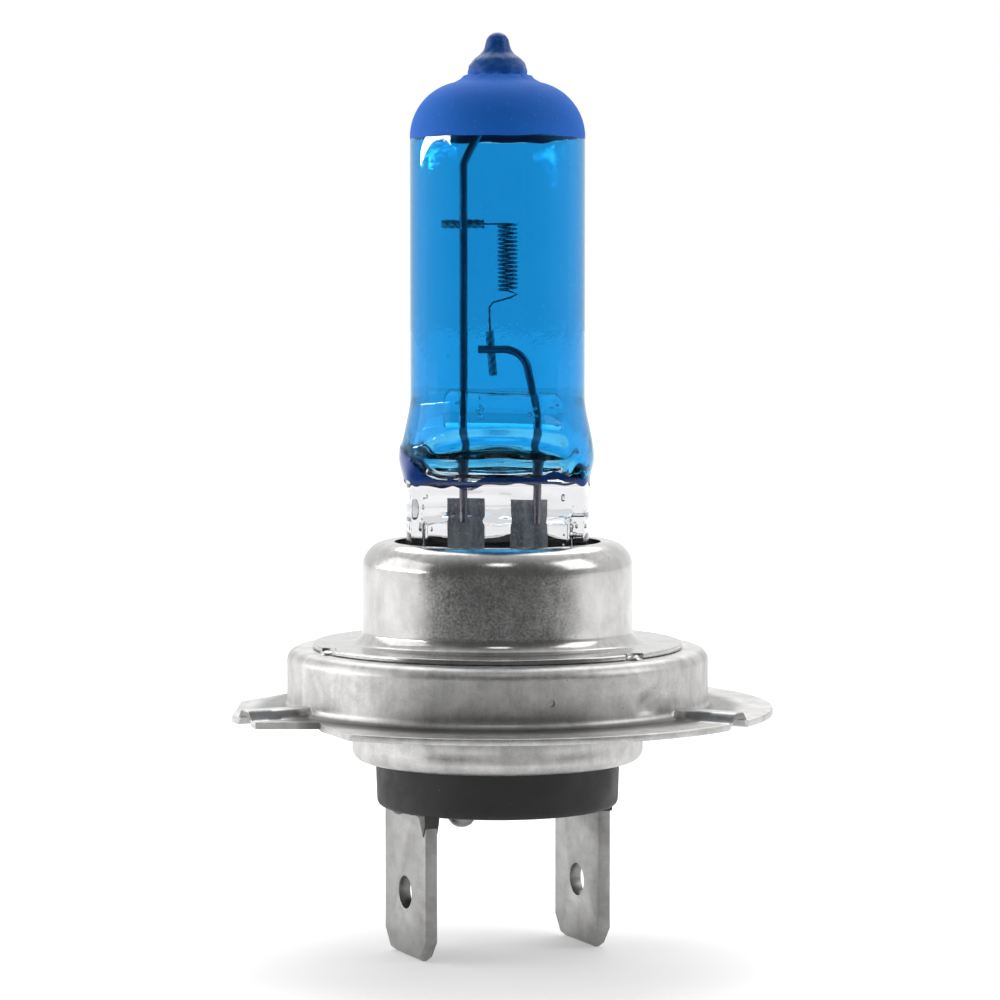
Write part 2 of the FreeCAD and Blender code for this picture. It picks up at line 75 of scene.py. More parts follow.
# ---------------------------------------------------------------- sizes of the finer shapes
COAT_T = 0.05 * MM
GAP = 0.008 * MM              # air between a coat and the glass, so that they never share a face
WALL = 1.05 * MM
SWELL_Z, BELLY_Z, UNDER_BELLY_Z = 18.6 * MM, 14.75 * MM, 13.2 * MM
SEAL_R = 5.7 * MM
SEAL_HALF_T = 1.9 * MM
SEAL_TOP_Z = 11.0 * MM
PRESS_TOP_Z, PRESS_BOTTOM_Z = 16.9 * MM, 13.0 * MM
PANEL_HALF_W = 4.5 * MM
PANEL_DEPTH = 0.4 * MM
DOME_R, DOME_TOP_Z, DOME_ARC_DEG = 3.4 * MM, 37.8 * MM, 78.0
TIP_FOOT_R, TIP_FOOT_Z = 1.85 * MM, 38.15 * MM
TIP_BALL_R = 0.74 * MM
CHAMBER_FLOOR_Z = 13.65 * MM
TROUGH_HALF_W, TROUGH_RISE = 1.9 * MM, 0.95 * MM
PINHOLE_DEG, PINHOLE_Z, PINHOLE_R = -76.0, 0.95 * MM, 0.23 * MM
LONG_X, SHORT_X = -2.1 * MM, 2.45 * MM
WIRE_R, WIRE_Y = 0.25 * MM, 0.0

SHEET = 0.35 * MM
CUP_R, CUP_ROLL, CUP_FILLET = 8.35 * MM, 1.6 * MM, 0.8 * MM
SCOOP_R = 0.85 * MM
SCOOP_ANGLES = (-44.0, -155.0, 80.0)
RING_R, RING_SHEET = 13.0 * MM, 0.4 * MM
RING_SHOULDER, RING_FILLET = 0.7 * MM, 0.5 * MM
RING_HOLE_R = 8.7 * MM
BOSS_ANGLES = (-32.5, -152.5, 87.5)
BOSS_HALF_W = 1.15 * MM
SHELL_R, SHELL_ROUND, SHELL_LIP_R = 9.0 * MM, 0.7 * MM, 7.65 * MM
STEM_R, STEM_EDGE = 7.56 * MM, 0.4 * MM
BLADE_W, BLADE_T = 6.3 * MM, 0.8 * MM
BLADE_X = 5.84 * MM
BLADE_TURN = math.radians(24.5)
DETENT_R, DETENT_Z = 1.0 * MM, -11.85 * MM
CORNER_CUT = (1.0 * MM, 1.3 * MM)
RIVET_XY = (3.04 * MM, 1.36 * MM)
RIVET_HEAD_R, RIVET_HEAD_H = 0.9 * MM, 1.1 * MM


def smoothstep(low, high, value):
    t = min(1.0, max(0.0, (value - low) / (high - low)))
    return t * t * (3 - 2 * t)


# ---------------------------------------------------------------- shader helpers
def new_group(name, inputs, outputs):
    """A shader node group; inputs maps labels to number or vector defaults, outputs are labels."""
    group = bpy.data.node_groups.new(name, "ShaderNodeTree")
    for label, default in inputs.items():
        kind = "NodeSocketVector" if isinstance(default, tuple) else "NodeSocketFloat"
        group.interface.new_socket(label, in_out="INPUT", socket_type=kind).default_value = default
    for label in outputs:
        group.interface.new_socket(label, in_out="OUTPUT", socket_type="NodeSocketFloat")
    return group, group.nodes.new("NodeGroupInput"), group.nodes.new("NodeGroupOutput")


def add_node(tree, kind, **settings):
    node = tree.nodes.new(kind)
    for key, value in settings.items():
        if key in node.inputs:
            node.inputs[key].default_value = value
        else:
            setattr(node, key, value)
    return node


def math_node(tree, operation, first, second=None, third=None):
    node = tree.nodes.new("ShaderNodeMath")
    node.operation = operation
    for index, value in enumerate((first, second, third)):
        if value is None:
            continue
        if isinstance(value, (int, float)):
            node.inputs[index].default_value = value
        else:
            tree.links.new(value, node.inputs[index])
    return node.outputs[0]


def times(tree, first, second):
    return math_node(tree, "MULTIPLY", first, second)


def remap(tree, value, from_low, from_high, to_low, to_high):
    node = tree.nodes.new("ShaderNodeMapRange")
    node.interpolation_type = "SMOOTHSTEP"
    tree.links.new(value, node.inputs["Value"])
    for key, number in zip(("From Min", "From Max", "To Min", "To Max"),
                           (from_low, from_high, to_low, to_high)):
        if isinstance(number, (int, float)):
            node.inputs[key].default_value = number
        else:
            tree.links.new(number, node.inputs[key])
    return node.outputs["Result"]


def mix_colour(tree, factor, first, second):
    node = tree.nodes.new("ShaderNodeMix")
    node.data_type = "RGBA"
    for index, value in ((0, factor), (6, first), (7, second)):
        if isinstance(value, (int, float, tuple)):
            node.inputs[index].default_value = value
        else:
            tree.links.new(value, node.inputs[index])
    return node.outputs[2]


def object_place(tree):
    """The point on the piece, in the piece's own coordinates."""
    return tree.nodes.new("ShaderNodeTexCoord").outputs["Object"]


def mottle_group():
    """Cloudy stains with fine grain, as on plated sheet. Scale is in spots per metre."""
    group, entry, leave = new_group("mottle", {"Scale": 300.0, "Grain": 4000.0}, ("Stain", "Fine"))
    link = group.links.new
    place = object_place(group)
    stain = add_node(group, "ShaderNodeTexNoise", Detail=6.0, Roughness=0.62, Distortion=0.4)
    fine = add_node(group, "ShaderNodeTexNoise", Detail=3.0, Roughness=0.7)
    link(place, stain.inputs["Vector"])
    link(place, fine.inputs["Vector"])
    link(entry.outputs["Scale"], stain.inputs["Scale"])
    link(entry.outputs["Grain"], fine.inputs["Scale"])
    link(stain.outputs["Fac"], leave.inputs["Stain"])
    link(fine.outputs["Fac"], leave.inputs["Fine"])
    return group


def brushing_group():
    """Fine lines: noise squeezed across the lines by the Stretch vector."""
    group, entry, leave = new_group("brushing", {"Stretch": (1.0, 1.0, 1.0), "Scale": 3000.0}, ("Lines",))
    link = group.links.new
    squeeze = add_node(group, "ShaderNodeVectorMath", operation="MULTIPLY")
    lines = add_node(group, "ShaderNodeTexNoise", Detail=4.0, Roughness=0.6)
    link(object_place(group), squeeze.inputs[0])
    link(entry.outputs["Stretch"], squeeze.inputs[1])
    link(squeeze.outputs[0], lines.inputs["Vector"])
    link(entry.outputs["Scale"], lines.inputs["Scale"])
    link(lines.outputs["Fac"], leave.inputs["Lines"])
    return group


def speck_group():
    """Small separate spots; Amount is the share of cells that hold one."""
    group, entry, leave = new_group("specks", {"Scale": 2000.0, "Size": 0.12, "Amount": 0.3}, ("Spot",))
    link = group.links.new
    cells = add_node(group, "ShaderNodeTexVoronoi", Randomness=1.0)
    link(object_place(group), cells.inputs["Vector"])
    link(entry.outputs["Scale"], cells.inputs["Scale"])
    pick = add_node(group, "ShaderNodeSeparateColor")
    link(cells.outputs["Color"], pick.inputs[0])
    chosen = math_node(group, "LESS_THAN", pick.outputs[0], entry.outputs["Amount"])
    inside = remap(group, cells.outputs["Distance"], 0.0, entry.outputs["Size"], 1.0, 0.0)
    spot = times(group, chosen, inside)
    link(spot, leave.inputs["Spot"])
    return group


MOTTLE, BRUSHING, SPECKS = mottle_group(), brushing_group(), speck_group()


def new_material(name, **constants):
    """A Principled material; constants are set on the shader's own sockets."""
    material = bpy.data.materials.new(name)
    material.use_nodes = True
    shader = material.node_tree.nodes["Principled BSDF"]
    for label, value in constants.items():
        shader.inputs[label.replace("_", " ")].default_value = value
    return material, material.node_tree


def place_group(tree, group, **values):
    """A group's outputs, with the given values on its inputs."""
    node = tree.nodes.new("ShaderNodeGroup")
    node.node_tree = group
    for label, value in values.items():
        node.inputs[label].default_value = value
    return node.outputs


def dress(material, colour, rough, height, strength, distance):
    """Wire colour, roughness and a bump of the given strength and depth to the shader."""
    tree = material.node_tree
    shader = tree.nodes["Principled BSDF"]
    bump = add_node(tree, "ShaderNodeBump", Strength=strength, Distance=distance)
    tree.links.new(colour, shader.inputs["Base Color"])
    tree.links.new(rough, shader.inputs["Roughness"])
    tree.links.new(height, bump.inputs["Height"])
    tree.links.new(bump.outputs["Normal"], shader.inputs["Normal"])
    return material


def object_axes(tree):
    split = tree.nodes.new("ShaderNodeSeparateXYZ")
    tree.links.new(object_place(tree), split.inputs[0])
    return split.outputs


# ---------------------------------------------------------------- materials
GREY_SEAL_TOP_Z, CLEAR_FROM_Z = 12.6 * MM, 13.6 * MM       # the glass is tinted darker grey in the seal and is clear in the tube
THIN_FROM_Z, THIN_TO_Z = 13.95 * MM, 14.35 * MM        # the coat runs thin just above its edge
THIN_HALF_W, THIN_END_X = 4.5 * MM, 5.0 * MM
TIP_PAINT_Z, TIP_DEEP_Z, TIP_GLOSS_Z = 38.0 * MM, 38.9 * MM, 39.0 * MM


def clear_quartz():
    material, tree = new_material(
        "clear_quartz", Metallic=0.0, IOR=1.46, Transmission_Weight=1.0)
    stain = place_group(tree, MOTTLE, Scale=170.0, Grain=1500.0)
    axes = object_axes(tree)
    clear = mix_colour(tree, stain["Stain"], (0.93, 0.935, 0.945, 1), (0.97, 0.97, 0.975, 1))
    # darker grey tint for the seal glass
    seal_grey = mix_colour(tree, stain["Stain"], (0.66, 0.665, 0.68, 1), (0.80, 0.80, 0.81, 1))
    in_seal = remap(tree, axes["Z"], GREY_SEAL_TOP_Z, CLEAR_FROM_Z, 1.0, 0.0)
    tint = mix_colour(tree, in_seal, clear, seal_grey)
    rough = remap(tree, stain["Stain"], 0.55, 0.75, 0.0, 0.03)
    return dress(material, tint, rough, stain["Stain"], 0.25, 0.05 * MM)


def blue_filter():
    material, tree = new_material(
        "blue_filter", Metallic=0.0, IOR=1.22, Transmission_Weight=1.0)
    axes = object_axes(tree)
    stain = place_group(tree, MOTTLE, Scale=120.0, Grain=2500.0)
    wave = place_group(tree, MOTTLE, Scale=330.0, Grain=2500.0)
    pale, deep = (0.12, 0.585, 0.885, 1), (0.075, 0.52, 0.84, 1)
    body = mix_colour(tree, stain["Stain"], pale, deep)
    height = math_node(tree, "MULTIPLY_ADD", wave["Stain"], -1.1 * MM, axes["Z"])
    sideways = math_node(tree, "ABSOLUTE", axes["X"])
    thin_z = remap(tree, height, THIN_FROM_Z, THIN_TO_Z, 1.0, 0.0)
    thin_x = remap(tree, sideways, THIN_HALF_W, THIN_END_X, 1.0, 0.0)
    thin = times(tree, thin_z, thin_x)
    body = mix_colour(tree, thin, body, (0.78, 0.90, 0.97, 1))
    specks = place_group(tree, SPECKS, Scale=900.0, Size=0.1, Amount=0.12)
    rough = remap(tree, specks["Spot"], 0.0, 1.0, 0.012, 0.3)
    return dress(material, body, rough, specks["Spot"], 0.3, 0.03 * MM)


def cap_paint():
    material, tree = new_material("cap_paint", Metallic=0.0, Specular_IOR_Level=0.22)
    axes = object_axes(tree)
    stain = place_group(tree, MOTTLE, Scale=260.0, Grain=9000.0)
    specks = place_group(tree, SPECKS, Scale=3600.0, Size=0.3, Amount=0.35)
    body = mix_colour(tree, stain["Stain"], (0.004, 0.11, 0.52, 1), (0.009, 0.155, 0.64, 1))
    tip = remap(tree, axes["Z"], TIP_PAINT_Z, TIP_DEEP_Z, 0.0, 1.0)
    body = mix_colour(tree, tip, body, (0.004, 0.07, 0.29, 1))
    pale = times(tree, specks["Spot"], 0.3)
    colour = mix_colour(tree, pale, body, (0.12, 0.34, 0.75, 1))
    rough = remap(tree, axes["Z"], TIP_PAINT_Z, TIP_GLOSS_Z, 0.62, 0.16)
    rough = math_node(tree, "MULTIPLY_ADD", stain["Fine"], 0.12, rough)
    return dress(material, colour, rough, stain["Fine"], 0.35, 0.03 * MM)


def pooled_paint():
    material, tree = new_material("pooled_paint", Metallic=0.0, Specular_IOR_Level=0.3)
    stain = place_group(tree, MOTTLE, Scale=500.0, Grain=4000.0)
    colour = mix_colour(tree, stain["Stain"], (0.006, 0.035, 0.2, 1), (0.014, 0.085, 0.36, 1))
    rough = remap(tree, stain["Fine"], 0.3, 0.7, 0.08, 0.2)
    return dress(material, colour, rough, stain["Stain"], 0.3, 0.05 * MM)


def plated_steel(name, dark, bright, rough_low, rough_high, stretch, line_strength, painted_shade):
    """Nickel plated sheet: stains, fine brushing along one direction, pits and dull spots.

    The last argument sets how much painted shade darkens the crease between the ring's wall and its
    flange, and the flanks of the flange's bosses.
    """
    material, tree = new_material(name, Metallic=1.0)
    stain = place_group(tree, MOTTLE, Scale=620.0, Grain=7500.0)
    lines = place_group(tree, BRUSHING, Stretch=stretch, Scale=1700.0)
    specks = place_group(tree, SPECKS, Scale=1500.0, Size=0.16, Amount=0.14)
    cloud = remap(tree, stain["Stain"], 0.3, 0.7, 0.2, 0.75)
    grit = remap(tree, stain["Fine"], 0.3, 0.7, -0.14, 0.14)
    streak = remap(tree, lines["Lines"], 0.3, 0.7, -0.12, 0.12)
    grit = math_node(tree, "ADD", grit, streak)
    body = mix_colour(tree, math_node(tree, "ADD", cloud, grit), dark, bright)
    axes = object_axes(tree)
    flat = tree.nodes.new("ShaderNodeCombineXYZ")
    tree.links.new(axes["X"], flat.inputs["X"])
    tree.links.new(axes["Y"], flat.inputs["Y"])
    radius = add_node(tree, "ShaderNodeVectorMath", operation="LENGTH")
    tree.links.new(flat.outputs[0], radius.inputs[0])
    # painted shade: the crease at the foot of the ring's wall and the flanks of the bosses are darkened in
    # the base colour; the shell below is left clear
    near = remap(tree, radius.outputs["Value"], RING_R + 1.2 * MM, RING_R + 2.4 * MM, painted_shade, 0.0)
    low = remap(tree, axes["Z"], -0.5 * MM, -0.3 * MM, 1.0, 0.0)
    under = remap(tree, axes["Z"], SHELL_BOTTOM_Z + 1.4 * MM, FLANGE_BOTTOM_Z, 0.0, 1.0)
    crease = times(tree, times(tree, near, low), under)
    outside = remap(tree, radius.outputs["Value"], RING_R + 0.5 * MM, RING_R + 1.0 * MM, 0.0, painted_shade)
    flank_top = remap(tree, axes["Z"], -0.12 * MM, -0.02 * MM, 1.0, 0.0)
    flank_foot = remap(tree, axes["Z"], -0.58 * MM, -0.5 * MM, 0.0, 1.0)
    flank = times(tree, times(tree, flank_top, flank_foot), outside)
    crease = math_node(tree, "MAXIMUM", crease, flank)
    # the painted shade is mixed into the base colour here
    body = mix_colour(tree, crease, body, (0.1, 0.098, 0.095, 1))
    pits = times(tree, specks["Spot"], 0.55)
    colour = mix_colour(tree, pits, body, (0.10, 0.095, 0.09, 1))
    rough = remap(tree, stain["Fine"], 0.3, 0.7, rough_low, rough_high)
    rough = math_node(tree, "MULTIPLY_ADD", lines["Lines"], 0.08, rough)
    grain = math_node(tree, "MULTIPLY_ADD", stain["Fine"], 0.8, lines["Lines"])
    height = math_node(tree, "SUBTRACT", grain, specks["Spot"])
    return dress(material, colour, rough, height, line_strength, 0.02 * MM)


def moulded_body():
    material, tree = new_material("moulded_body", Metallic=0.0, Specular_IOR_Level=0.4)
    stain = place_group(tree, MOTTLE, Scale=500.0, Grain=7000.0)
    specks = place_group(tree, SPECKS, Scale=1700.0, Size=0.09, Amount=0.5)
    body = mix_colour(tree, stain["Stain"], (0.009, 0.009, 0.010, 1), (0.02, 0.02, 0.021, 1))
    colour = mix_colour(tree, specks["Spot"], body, (0.2, 0.2, 0.19, 1))
    rough = remap(tree, stain["Stain"], 0.3, 0.7, 0.5, 0.68)
    return dress(material, colour, rough, stain["Fine"], 0.3, 0.03 * MM)


def drawn_wire(name, dark, bright, rough):
    material, tree = new_material(name, Metallic=1.0)
    stain = place_group(tree, MOTTLE, Scale=700.0, Grain=9000.0)
    colour = mix_colour(tree, stain["Stain"], dark, bright)
    rough = remap(tree, stain["Fine"], 0.3, 0.7, rough, rough + 0.15)
    return dress(material, colour, rough, stain["Fine"], 0.25, 0.01 * MM)


def crinkled_foil():
    """Thin foil: dull patches crossed by upright dark and light streaks."""
    material, tree = new_material("foil_metal", Metallic=1.0)
    stain = place_group(tree, MOTTLE, Scale=900.0, Grain=5200.0)
    lines = place_group(tree, BRUSHING, Stretch=(1.0, 1.0, 0.12), Scale=1100.0)
    streak = remap(tree, lines["Lines"], 0.4, 0.6, 0.0, 1.0)
    dull = mix_colour(tree, streak, (0.5, 0.5, 0.53, 1), (1.0, 1.0, 1.0, 1))
    fleck = remap(tree, stain["Fine"], 0.45, 0.65, 0.0, 0.6)
    colour = mix_colour(tree, fleck, dull, (0.95, 0.95, 1.0, 1))
    rough = remap(tree, stain["Fine"], 0.3, 0.7, 0.3, 0.5)
    return dress(material, colour, rough, stain["Fine"], 1.0, 0.08 * MM)


def dark_resin():
    material, tree = new_material("dark_resin", Metallic=0.0)
    stain = place_group(tree, MOTTLE, Scale=900.0, Grain=6000.0)
    colour = mix_colour(tree, stain["Stain"], (0.010, 0.009, 0.008, 1), (0.024, 0.021, 0.019, 1))
    rough = remap(tree, stain["Fine"], 0.3, 0.7, 0.25, 0.45)
    return dress(material, colour, rough, stain["Stain"], 0.4, 0.08 * MM)


QUARTZ = clear_quartz()
FILTER = blue_filter()
PAINT = cap_paint()
CUP_STEEL = plated_steel("cup_steel", (0.40, 0.395, 0.39, 1), (0.60, 0.595, 0.585, 1),
                         0.1, 0.2, (1.0, 1.0, 0.3), 0.12, 0.0)
RING_STEEL = plated_steel("ring_steel", (0.36, 0.356, 0.348, 1), (0.64, 0.635, 0.625, 1),
                          0.3, 0.44, (1.0, 1.0, 0.12), 0.34, 0.75)
TAB_STEEL = plated_steel("tab_steel", (0.24, 0.238, 0.234, 1), (0.40, 0.397, 0.39, 1),
                         0.3, 0.44, (0.25, 0.25, 1.0), 0.3, 0.0)
SPRING_STEEL = plated_steel("spring_steel", (0.42, 0.42, 0.41, 1), (0.55, 0.55, 0.54, 1),
                            0.3, 0.42, (0.3, 1.0, 1.0), 0.2, 0.0)
MOULDED = moulded_body()
MOLYBDENUM = drawn_wire("molybdenum", (0.16, 0.155, 0.2, 1), (0.34, 0.33, 0.38, 1), 0.26)
FOIL_METAL = crinkled_foil()
SLEEVE_METAL = drawn_wire("sleeve_metal", (0.26, 0.26, 0.29, 1), (0.6, 0.6, 0.63, 1), 0.12)
POOLED_PAINT = pooled_paint()
TUNGSTEN = drawn_wire("tungsten", (0.10, 0.10, 0.13, 1), (0.3, 0.3, 0.34, 1), 0.18)
RESIN = dark_resin()


# ---------------------------------------------------------------- mesh helpers
def arc(centre, radius, start_deg, end_deg, steps):
    """Points on an arc in the (radius, z) plane, both ends included."""
    points = []
    for index in range(steps + 1):
        angle = math.radians(start_deg + (end_deg - start_deg) * index / steps)
        points.append((centre[0] + radius * math.cos(angle), centre[1] + radius * math.sin(angle)))
    return points


def line(start, end, steps):
    """Points from start up to, but without, end."""
    return [tuple(a + (b - a) * index / steps for a, b in zip(start, end)) for index in range(steps)]


def spun(points, closed, steps):
    """Turn a profile of (radius, z) points about the Z axis into a mesh."""
    bm = bmesh.new()
    verts = [bm.verts.new((radius, 0.0, z)) for radius, z in points]
    edges = [bm.edges.new(pair) for pair in zip(verts, verts[1:])]
    if closed:
        edges.append(bm.edges.new((verts[-1], verts[0])))
    bmesh.ops.spin(bm, geom=verts + edges, cent=(0, 0, 0), axis=(0, 0, 1), dvec=(0, 0, 0),
                   angle=math.tau, steps=steps, use_merge=True, use_duplicate=False)
    bmesh.ops.remove_doubles(bm, verts=bm.verts, dist=1e-7)
    bmesh.ops.recalc_face_normals(bm, faces=bm.faces)
    return bm


def add_mesh(target, source):
    """Put another bmesh into target and free it."""
    mesh = bpy.data.meshes.new("part")
    source.to_mesh(mesh)
    source.free()
    target.from_mesh(mesh)
    bpy.data.meshes.remove(mesh)


def place_object(name, data):
    obj = bpy.data.objects.new(name, data)
    bpy.context.scene.collection.objects.link(obj)
    return obj


def mesh_object(name, bm):
    mesh = bpy.data.meshes.new(name)
    bm.to_mesh(mesh)
    bm.free()
    return place_object(name, mesh)


def shifted(x, y, z):
    return Matrix.Translation((x, y, z))


def turned(degrees, axis="Z"):
    return Matrix.Rotation(math.radians(degrees), 4, axis)


def block(size, *moves):
    """Box of the given size about the origin, then moved step by step."""
    bm = bmesh.new()
    bmesh.ops.create_cube(bm, size=1.0)
    for move in (Matrix.Diagonal((*size, 1)), *moves):
        bm.transform(move)
    return bm


def pin(radius, length, segments, *moves):
    """Round pin along Z about the origin, then moved step by step."""
    bm = bmesh.new()
    bmesh.ops.create_cone(bm, cap_ends=True, segments=segments, radius1=radius, radius2=radius,
                          depth=length)
    for move in moves:
        bm.transform(move)
    return bm


def plate(corners, thickness):
    """Flat plate with the given corners, thickened along a vector."""
    bm = bmesh.new()
    face = bm.faces.new([bm.verts.new(corner) for corner in corners])
    raised = bmesh.ops.extrude_face_region(bm, geom=[face])["geom"]
    lifted = [part for part in raised if isinstance(part, bmesh.types.BMVert)]
    bmesh.ops.translate(bm, verts=lifted, vec=thickness)
    bmesh.ops.recalc_face_normals(bm, faces=bm.faces)
    return bm


def apply_modifiers(obj):
    """Bake the object's modifiers into its mesh."""
    graph = bpy.context.evaluated_depsgraph_get()
    mesh = bpy.data.meshes.new_from_object(obj.evaluated_get(graph))
    obj.modifiers.clear()
    obj.data = mesh


def cut_with(obj, cutters):
    for cutter in cutters:
        modifier = obj.modifiers.new("cut", "BOOLEAN")
        modifier.operation = "DIFFERENCE"
        modifier.solver = "EXACT"
        modifier.object = cutter
    apply_modifiers(obj)
    for cutter in cutters:
        bpy.data.objects.remove(cutter)


def soften_edges(obj, width, segments, angle_deg=35.0):
    bevel = obj.modifiers.new("soft_edges", "BEVEL")
    bevel.width = width
    bevel.segments = segments
    bevel.limit_method = "ANGLE"
    bevel.angle_limit = math.radians(angle_deg)
    apply_modifiers(obj)


def finish_piece(obj, material, nodes, sharp_deg=40.0):
    """Shade, dress and mount a finished piece on the bulb."""
    obj.data.materials.clear()
    obj.data.materials.append(material)
    obj.data.shade_smooth()
    obj.data.set_sharp_from_angle(angle=math.radians(sharp_deg))
    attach(obj, "root")
    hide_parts(*nodes)


def rounded_route(corners, bend, arc_steps=10):
    """Points along straight runs that are joined by arcs of the bend radius."""
    corners = [Vector(c) for c in corners]
    route = [corners[0]]
    for before, corner, after in zip(corners, corners[1:], corners[2:]):
        back, ahead = (before - corner).normalized(), (after - corner).normalized()
        half = back.angle(ahead) / 2
        start = corner + back * (bend / math.tan(half))
        end = corner + ahead * (bend / math.tan(half))
        centre = corner + (back + ahead).normalized() * (bend / math.sin(half))
        first, last = (start - centre).normalized(), (end - centre).normalized()
        for index in range(arc_steps + 1):
            route.append(centre + bend * first.slerp(last, index / arc_steps))
    route.append(corners[-1])
    return route


def wire_object(name, route, radius, sides):
    """Round wire of the given radius along a route, as a mesh with closed ends."""
    curve = bpy.data.curves.new(name + "_path", "CURVE")
    curve.dimensions = "3D"
    curve.bevel_depth = radius
    curve.bevel_resolution = sides
    curve.use_fill_caps = True
    spline = curve.splines.new("POLY")
    spline.points.add(len(route) - 1)
    for point, place in zip(spline.points, route):
        point.co = (*place, 1.0)
    source = place_object(name + "_path", curve)
    bpy.context.view_layer.update()
    graph = bpy.context.evaluated_depsgraph_get()
    mesh = bpy.data.meshes.new_from_object(source.evaluated_get(graph))
    mesh.name = name
    bpy.data.objects.remove(source)
    return place_object(name, mesh)


def joined(name, objects):
    """One object from several meshes."""
    bm = bmesh.new()
    for obj in objects:
        bm.from_mesh(obj.data)
        bpy.data.objects.remove(obj)
    return mesh_object(name, bm)


# ---------------------------------------------------------------- glass
def tube_radius(z):
    """Outside radius of the bulb below the dome."""
    if z >= BELLY_Z:
        return TUBE_R + (BELLY_R - TUBE_R) * smoothstep(SWELL_Z, BELLY_Z, z)
    return BELLY_R + (SEAL_R - BELLY_R) * smoothstep(BELLY_Z, UNDER_BELLY_Z, z)


def press(point, wall, sharpness=9):
    """Squeeze a round body flat, as the sealing jaws do; wall is how far inside the skin it lies."""
    blend = smoothstep(PRESS_TOP_Z, PRESS_TOP_Z - 1.2 * MM, point.z)
    if blend <= 0:
        return
    down = min(1.0, (PRESS_TOP_Z - point.z) / (PRESS_TOP_Z - PRESS_BOTTOM_Z))
    wide = 6.6 * MM
    limit = SEAL_HALF_T + (wide - SEAL_HALF_T) * (1 + math.cos(math.pi * down ** 0.8)) / 2 - wall
    ratio = abs(point.y) / limit
    squeeze = (1 + ratio ** sharpness) ** (-1 / sharpness)
    point.y *= 1 + (squeeze - 1) * blend


def shape_seal(point):
    """Flat press seal with a recessed panel between two ribs, slightly rippled."""
    press(point, 0.0)
    if point.z < SEAL_TOP_Z + 1.5 * MM and abs(point.y) > 0.6 * SEAL_HALF_T:
        across = 1 - smoothstep(PANEL_HALF_W - 0.12 * MM, PANEL_HALF_W + 0.12 * MM, abs(point.x))
        side = math.copysign(1, point.y)
        step_z = SEAL_TOP_Z + 0.3 * MM * noise.noise(Vector((point.x * 450, side, 0.4)))
        down = smoothstep(step_z + 0.1 * MM, step_z - 0.1 * MM, point.z)
        ripple = 0.1 * MM * noise.noise(point * 420)
        furrow = 0.14 * MM * noise.noise(Vector((point.x * 170, side * 3, point.z * 1900)))
        furrow *= math.exp(-((point.z - SEAL_TOP_Z - 0.4 * MM) / (0.9 * MM)) ** 2)
        point.y -= side * (PANEL_DEPTH * across * down + (ripple + furrow) * across)


def dome_points(inset):
    centre = (TUBE_R - DOME_R, DOME_TOP_Z - DOME_R)
    rounding = arc(centre, DOME_R - inset, 0, DOME_ARC_DEG, 18)
    return rounding[:-1] + line(rounding[-1], (TIP_FOOT_R - inset, TIP_FOOT_Z - inset), 4)


def tip_points(inset):
    """Sealed-off exhaust tip: its cheeks swell out, then narrow to a rounded nipple."""
    ball = (0.0, TIP_TOP_Z - TIP_BALL_R)
    cheek = arc((0.55 * MM, 38.25 * MM), 1.27 * MM - inset, -4, 54, 8)
    neck = (1.75 * MM, 40.2 * MM)
    hollow = arc(neck, 1.01 * MM + inset, 228, 190, 6)
    return cheek + hollow + arc(ball, TIP_BALL_R - inset, 4, 90, 10)


def glass_outside():
    skin = COAT_T + GAP
    low, high = SEAL_BOTTOM_Z, DOME_TOP_Z - DOME_R
    seal_z = [low + (UNDER_BELLY_Z + 0.8 * MM - low) * i / 60 for i in range(60)]
    tube_z = [UNDER_BELLY_Z + 0.8 * MM + (high - UNDER_BELLY_Z - 0.8 * MM) * i / 70 for i in range(70)]
    points = line((0, low), (SEAL_R - skin, low), 8)
    points += [(tube_radius(z) - skin, z) for z in seal_z + tube_z]
    points += dome_points(skin) + tip_points(skin)
    bm = spun(points, closed=False, steps=192)
    for vert in bm.verts:
        shape_seal(vert.co)
    return bm


def chamber_wall():
    """The gas space, turned inside out so that its faces look into the gas."""
    inner = TUBE_R - WALL
    roof_z = DOME_TOP_Z - 1.15 * MM
    floor = line((0, CHAMBER_FLOOR_Z), (3.4 * MM, CHAMBER_FLOOR_Z), 20)
    corner = arc((3.4 * MM, CHAMBER_FLOOR_Z + 1.45 * MM), 1.45 * MM, -90, 0, 16)
    side_top = 33.9 * MM
    sides = line((4.85 * MM, CHAMBER_FLOOR_Z + 1.6 * MM), (4.8 * MM, 16.2 * MM), 8)
    sides += line((4.8 * MM, 16.2 * MM), (inner, SWELL_Z), 10)
    sides += line((inner, SWELL_Z), (inner, side_top), 30)
    roof = arc((inner - 2.1 * MM, roof_z - 1.95 * MM), 2.1 * MM, 0, 90, 14)
    bm = spun(floor + corner + sides + roof + [(0, roof_z + 0.15 * MM)], closed=False, steps=160)
    for vert in bm.verts:
        point = vert.co
        press(point, 1.0 * MM, 4)
        if point.z < 16 * MM:
            climb = sum(math.exp(-((point.x - x) / (0.4 * MM)) ** 2) for x in (LONG_X, SHORT_X))
            hump = math.exp(-((point.x - 0.2 * MM) / (1.6 * MM)) ** 2)
            trough = TROUGH_RISE * (0.75 + 0.45 * hump) * min(1.0, (point.y / TROUGH_HALF_W) ** 2)
            wave = 0.16 * MM * noise.noise(Vector((point.x * 330, point.y * 120, 0.7)))
            fade = 1 - smoothstep(CHAMBER_FLOOR_Z + 0.4 * MM, CHAMBER_FLOOR_Z + 2.4 * MM, point.z)
            point.z += (0.12 * MM * climb + trough + wave) * fade
    bmesh.ops.reverse_faces(bm, faces=bm.faces)
    return bm


def add_bubble(bm, place, size):
    """Small gas bubble inside the glass: an ellipsoid that faces into its own gas."""
    bubble = bmesh.new()
    bmesh.ops.create_icosphere(bubble, subdivisions=3, radius=1.0)
    bubble.transform(Matrix.Translation(place) @ Matrix.Diagonal((*size, 1.0)))
    bmesh.ops.reverse_faces(bubble, faces=bubble.faces)
    add_mesh(bm, bubble)


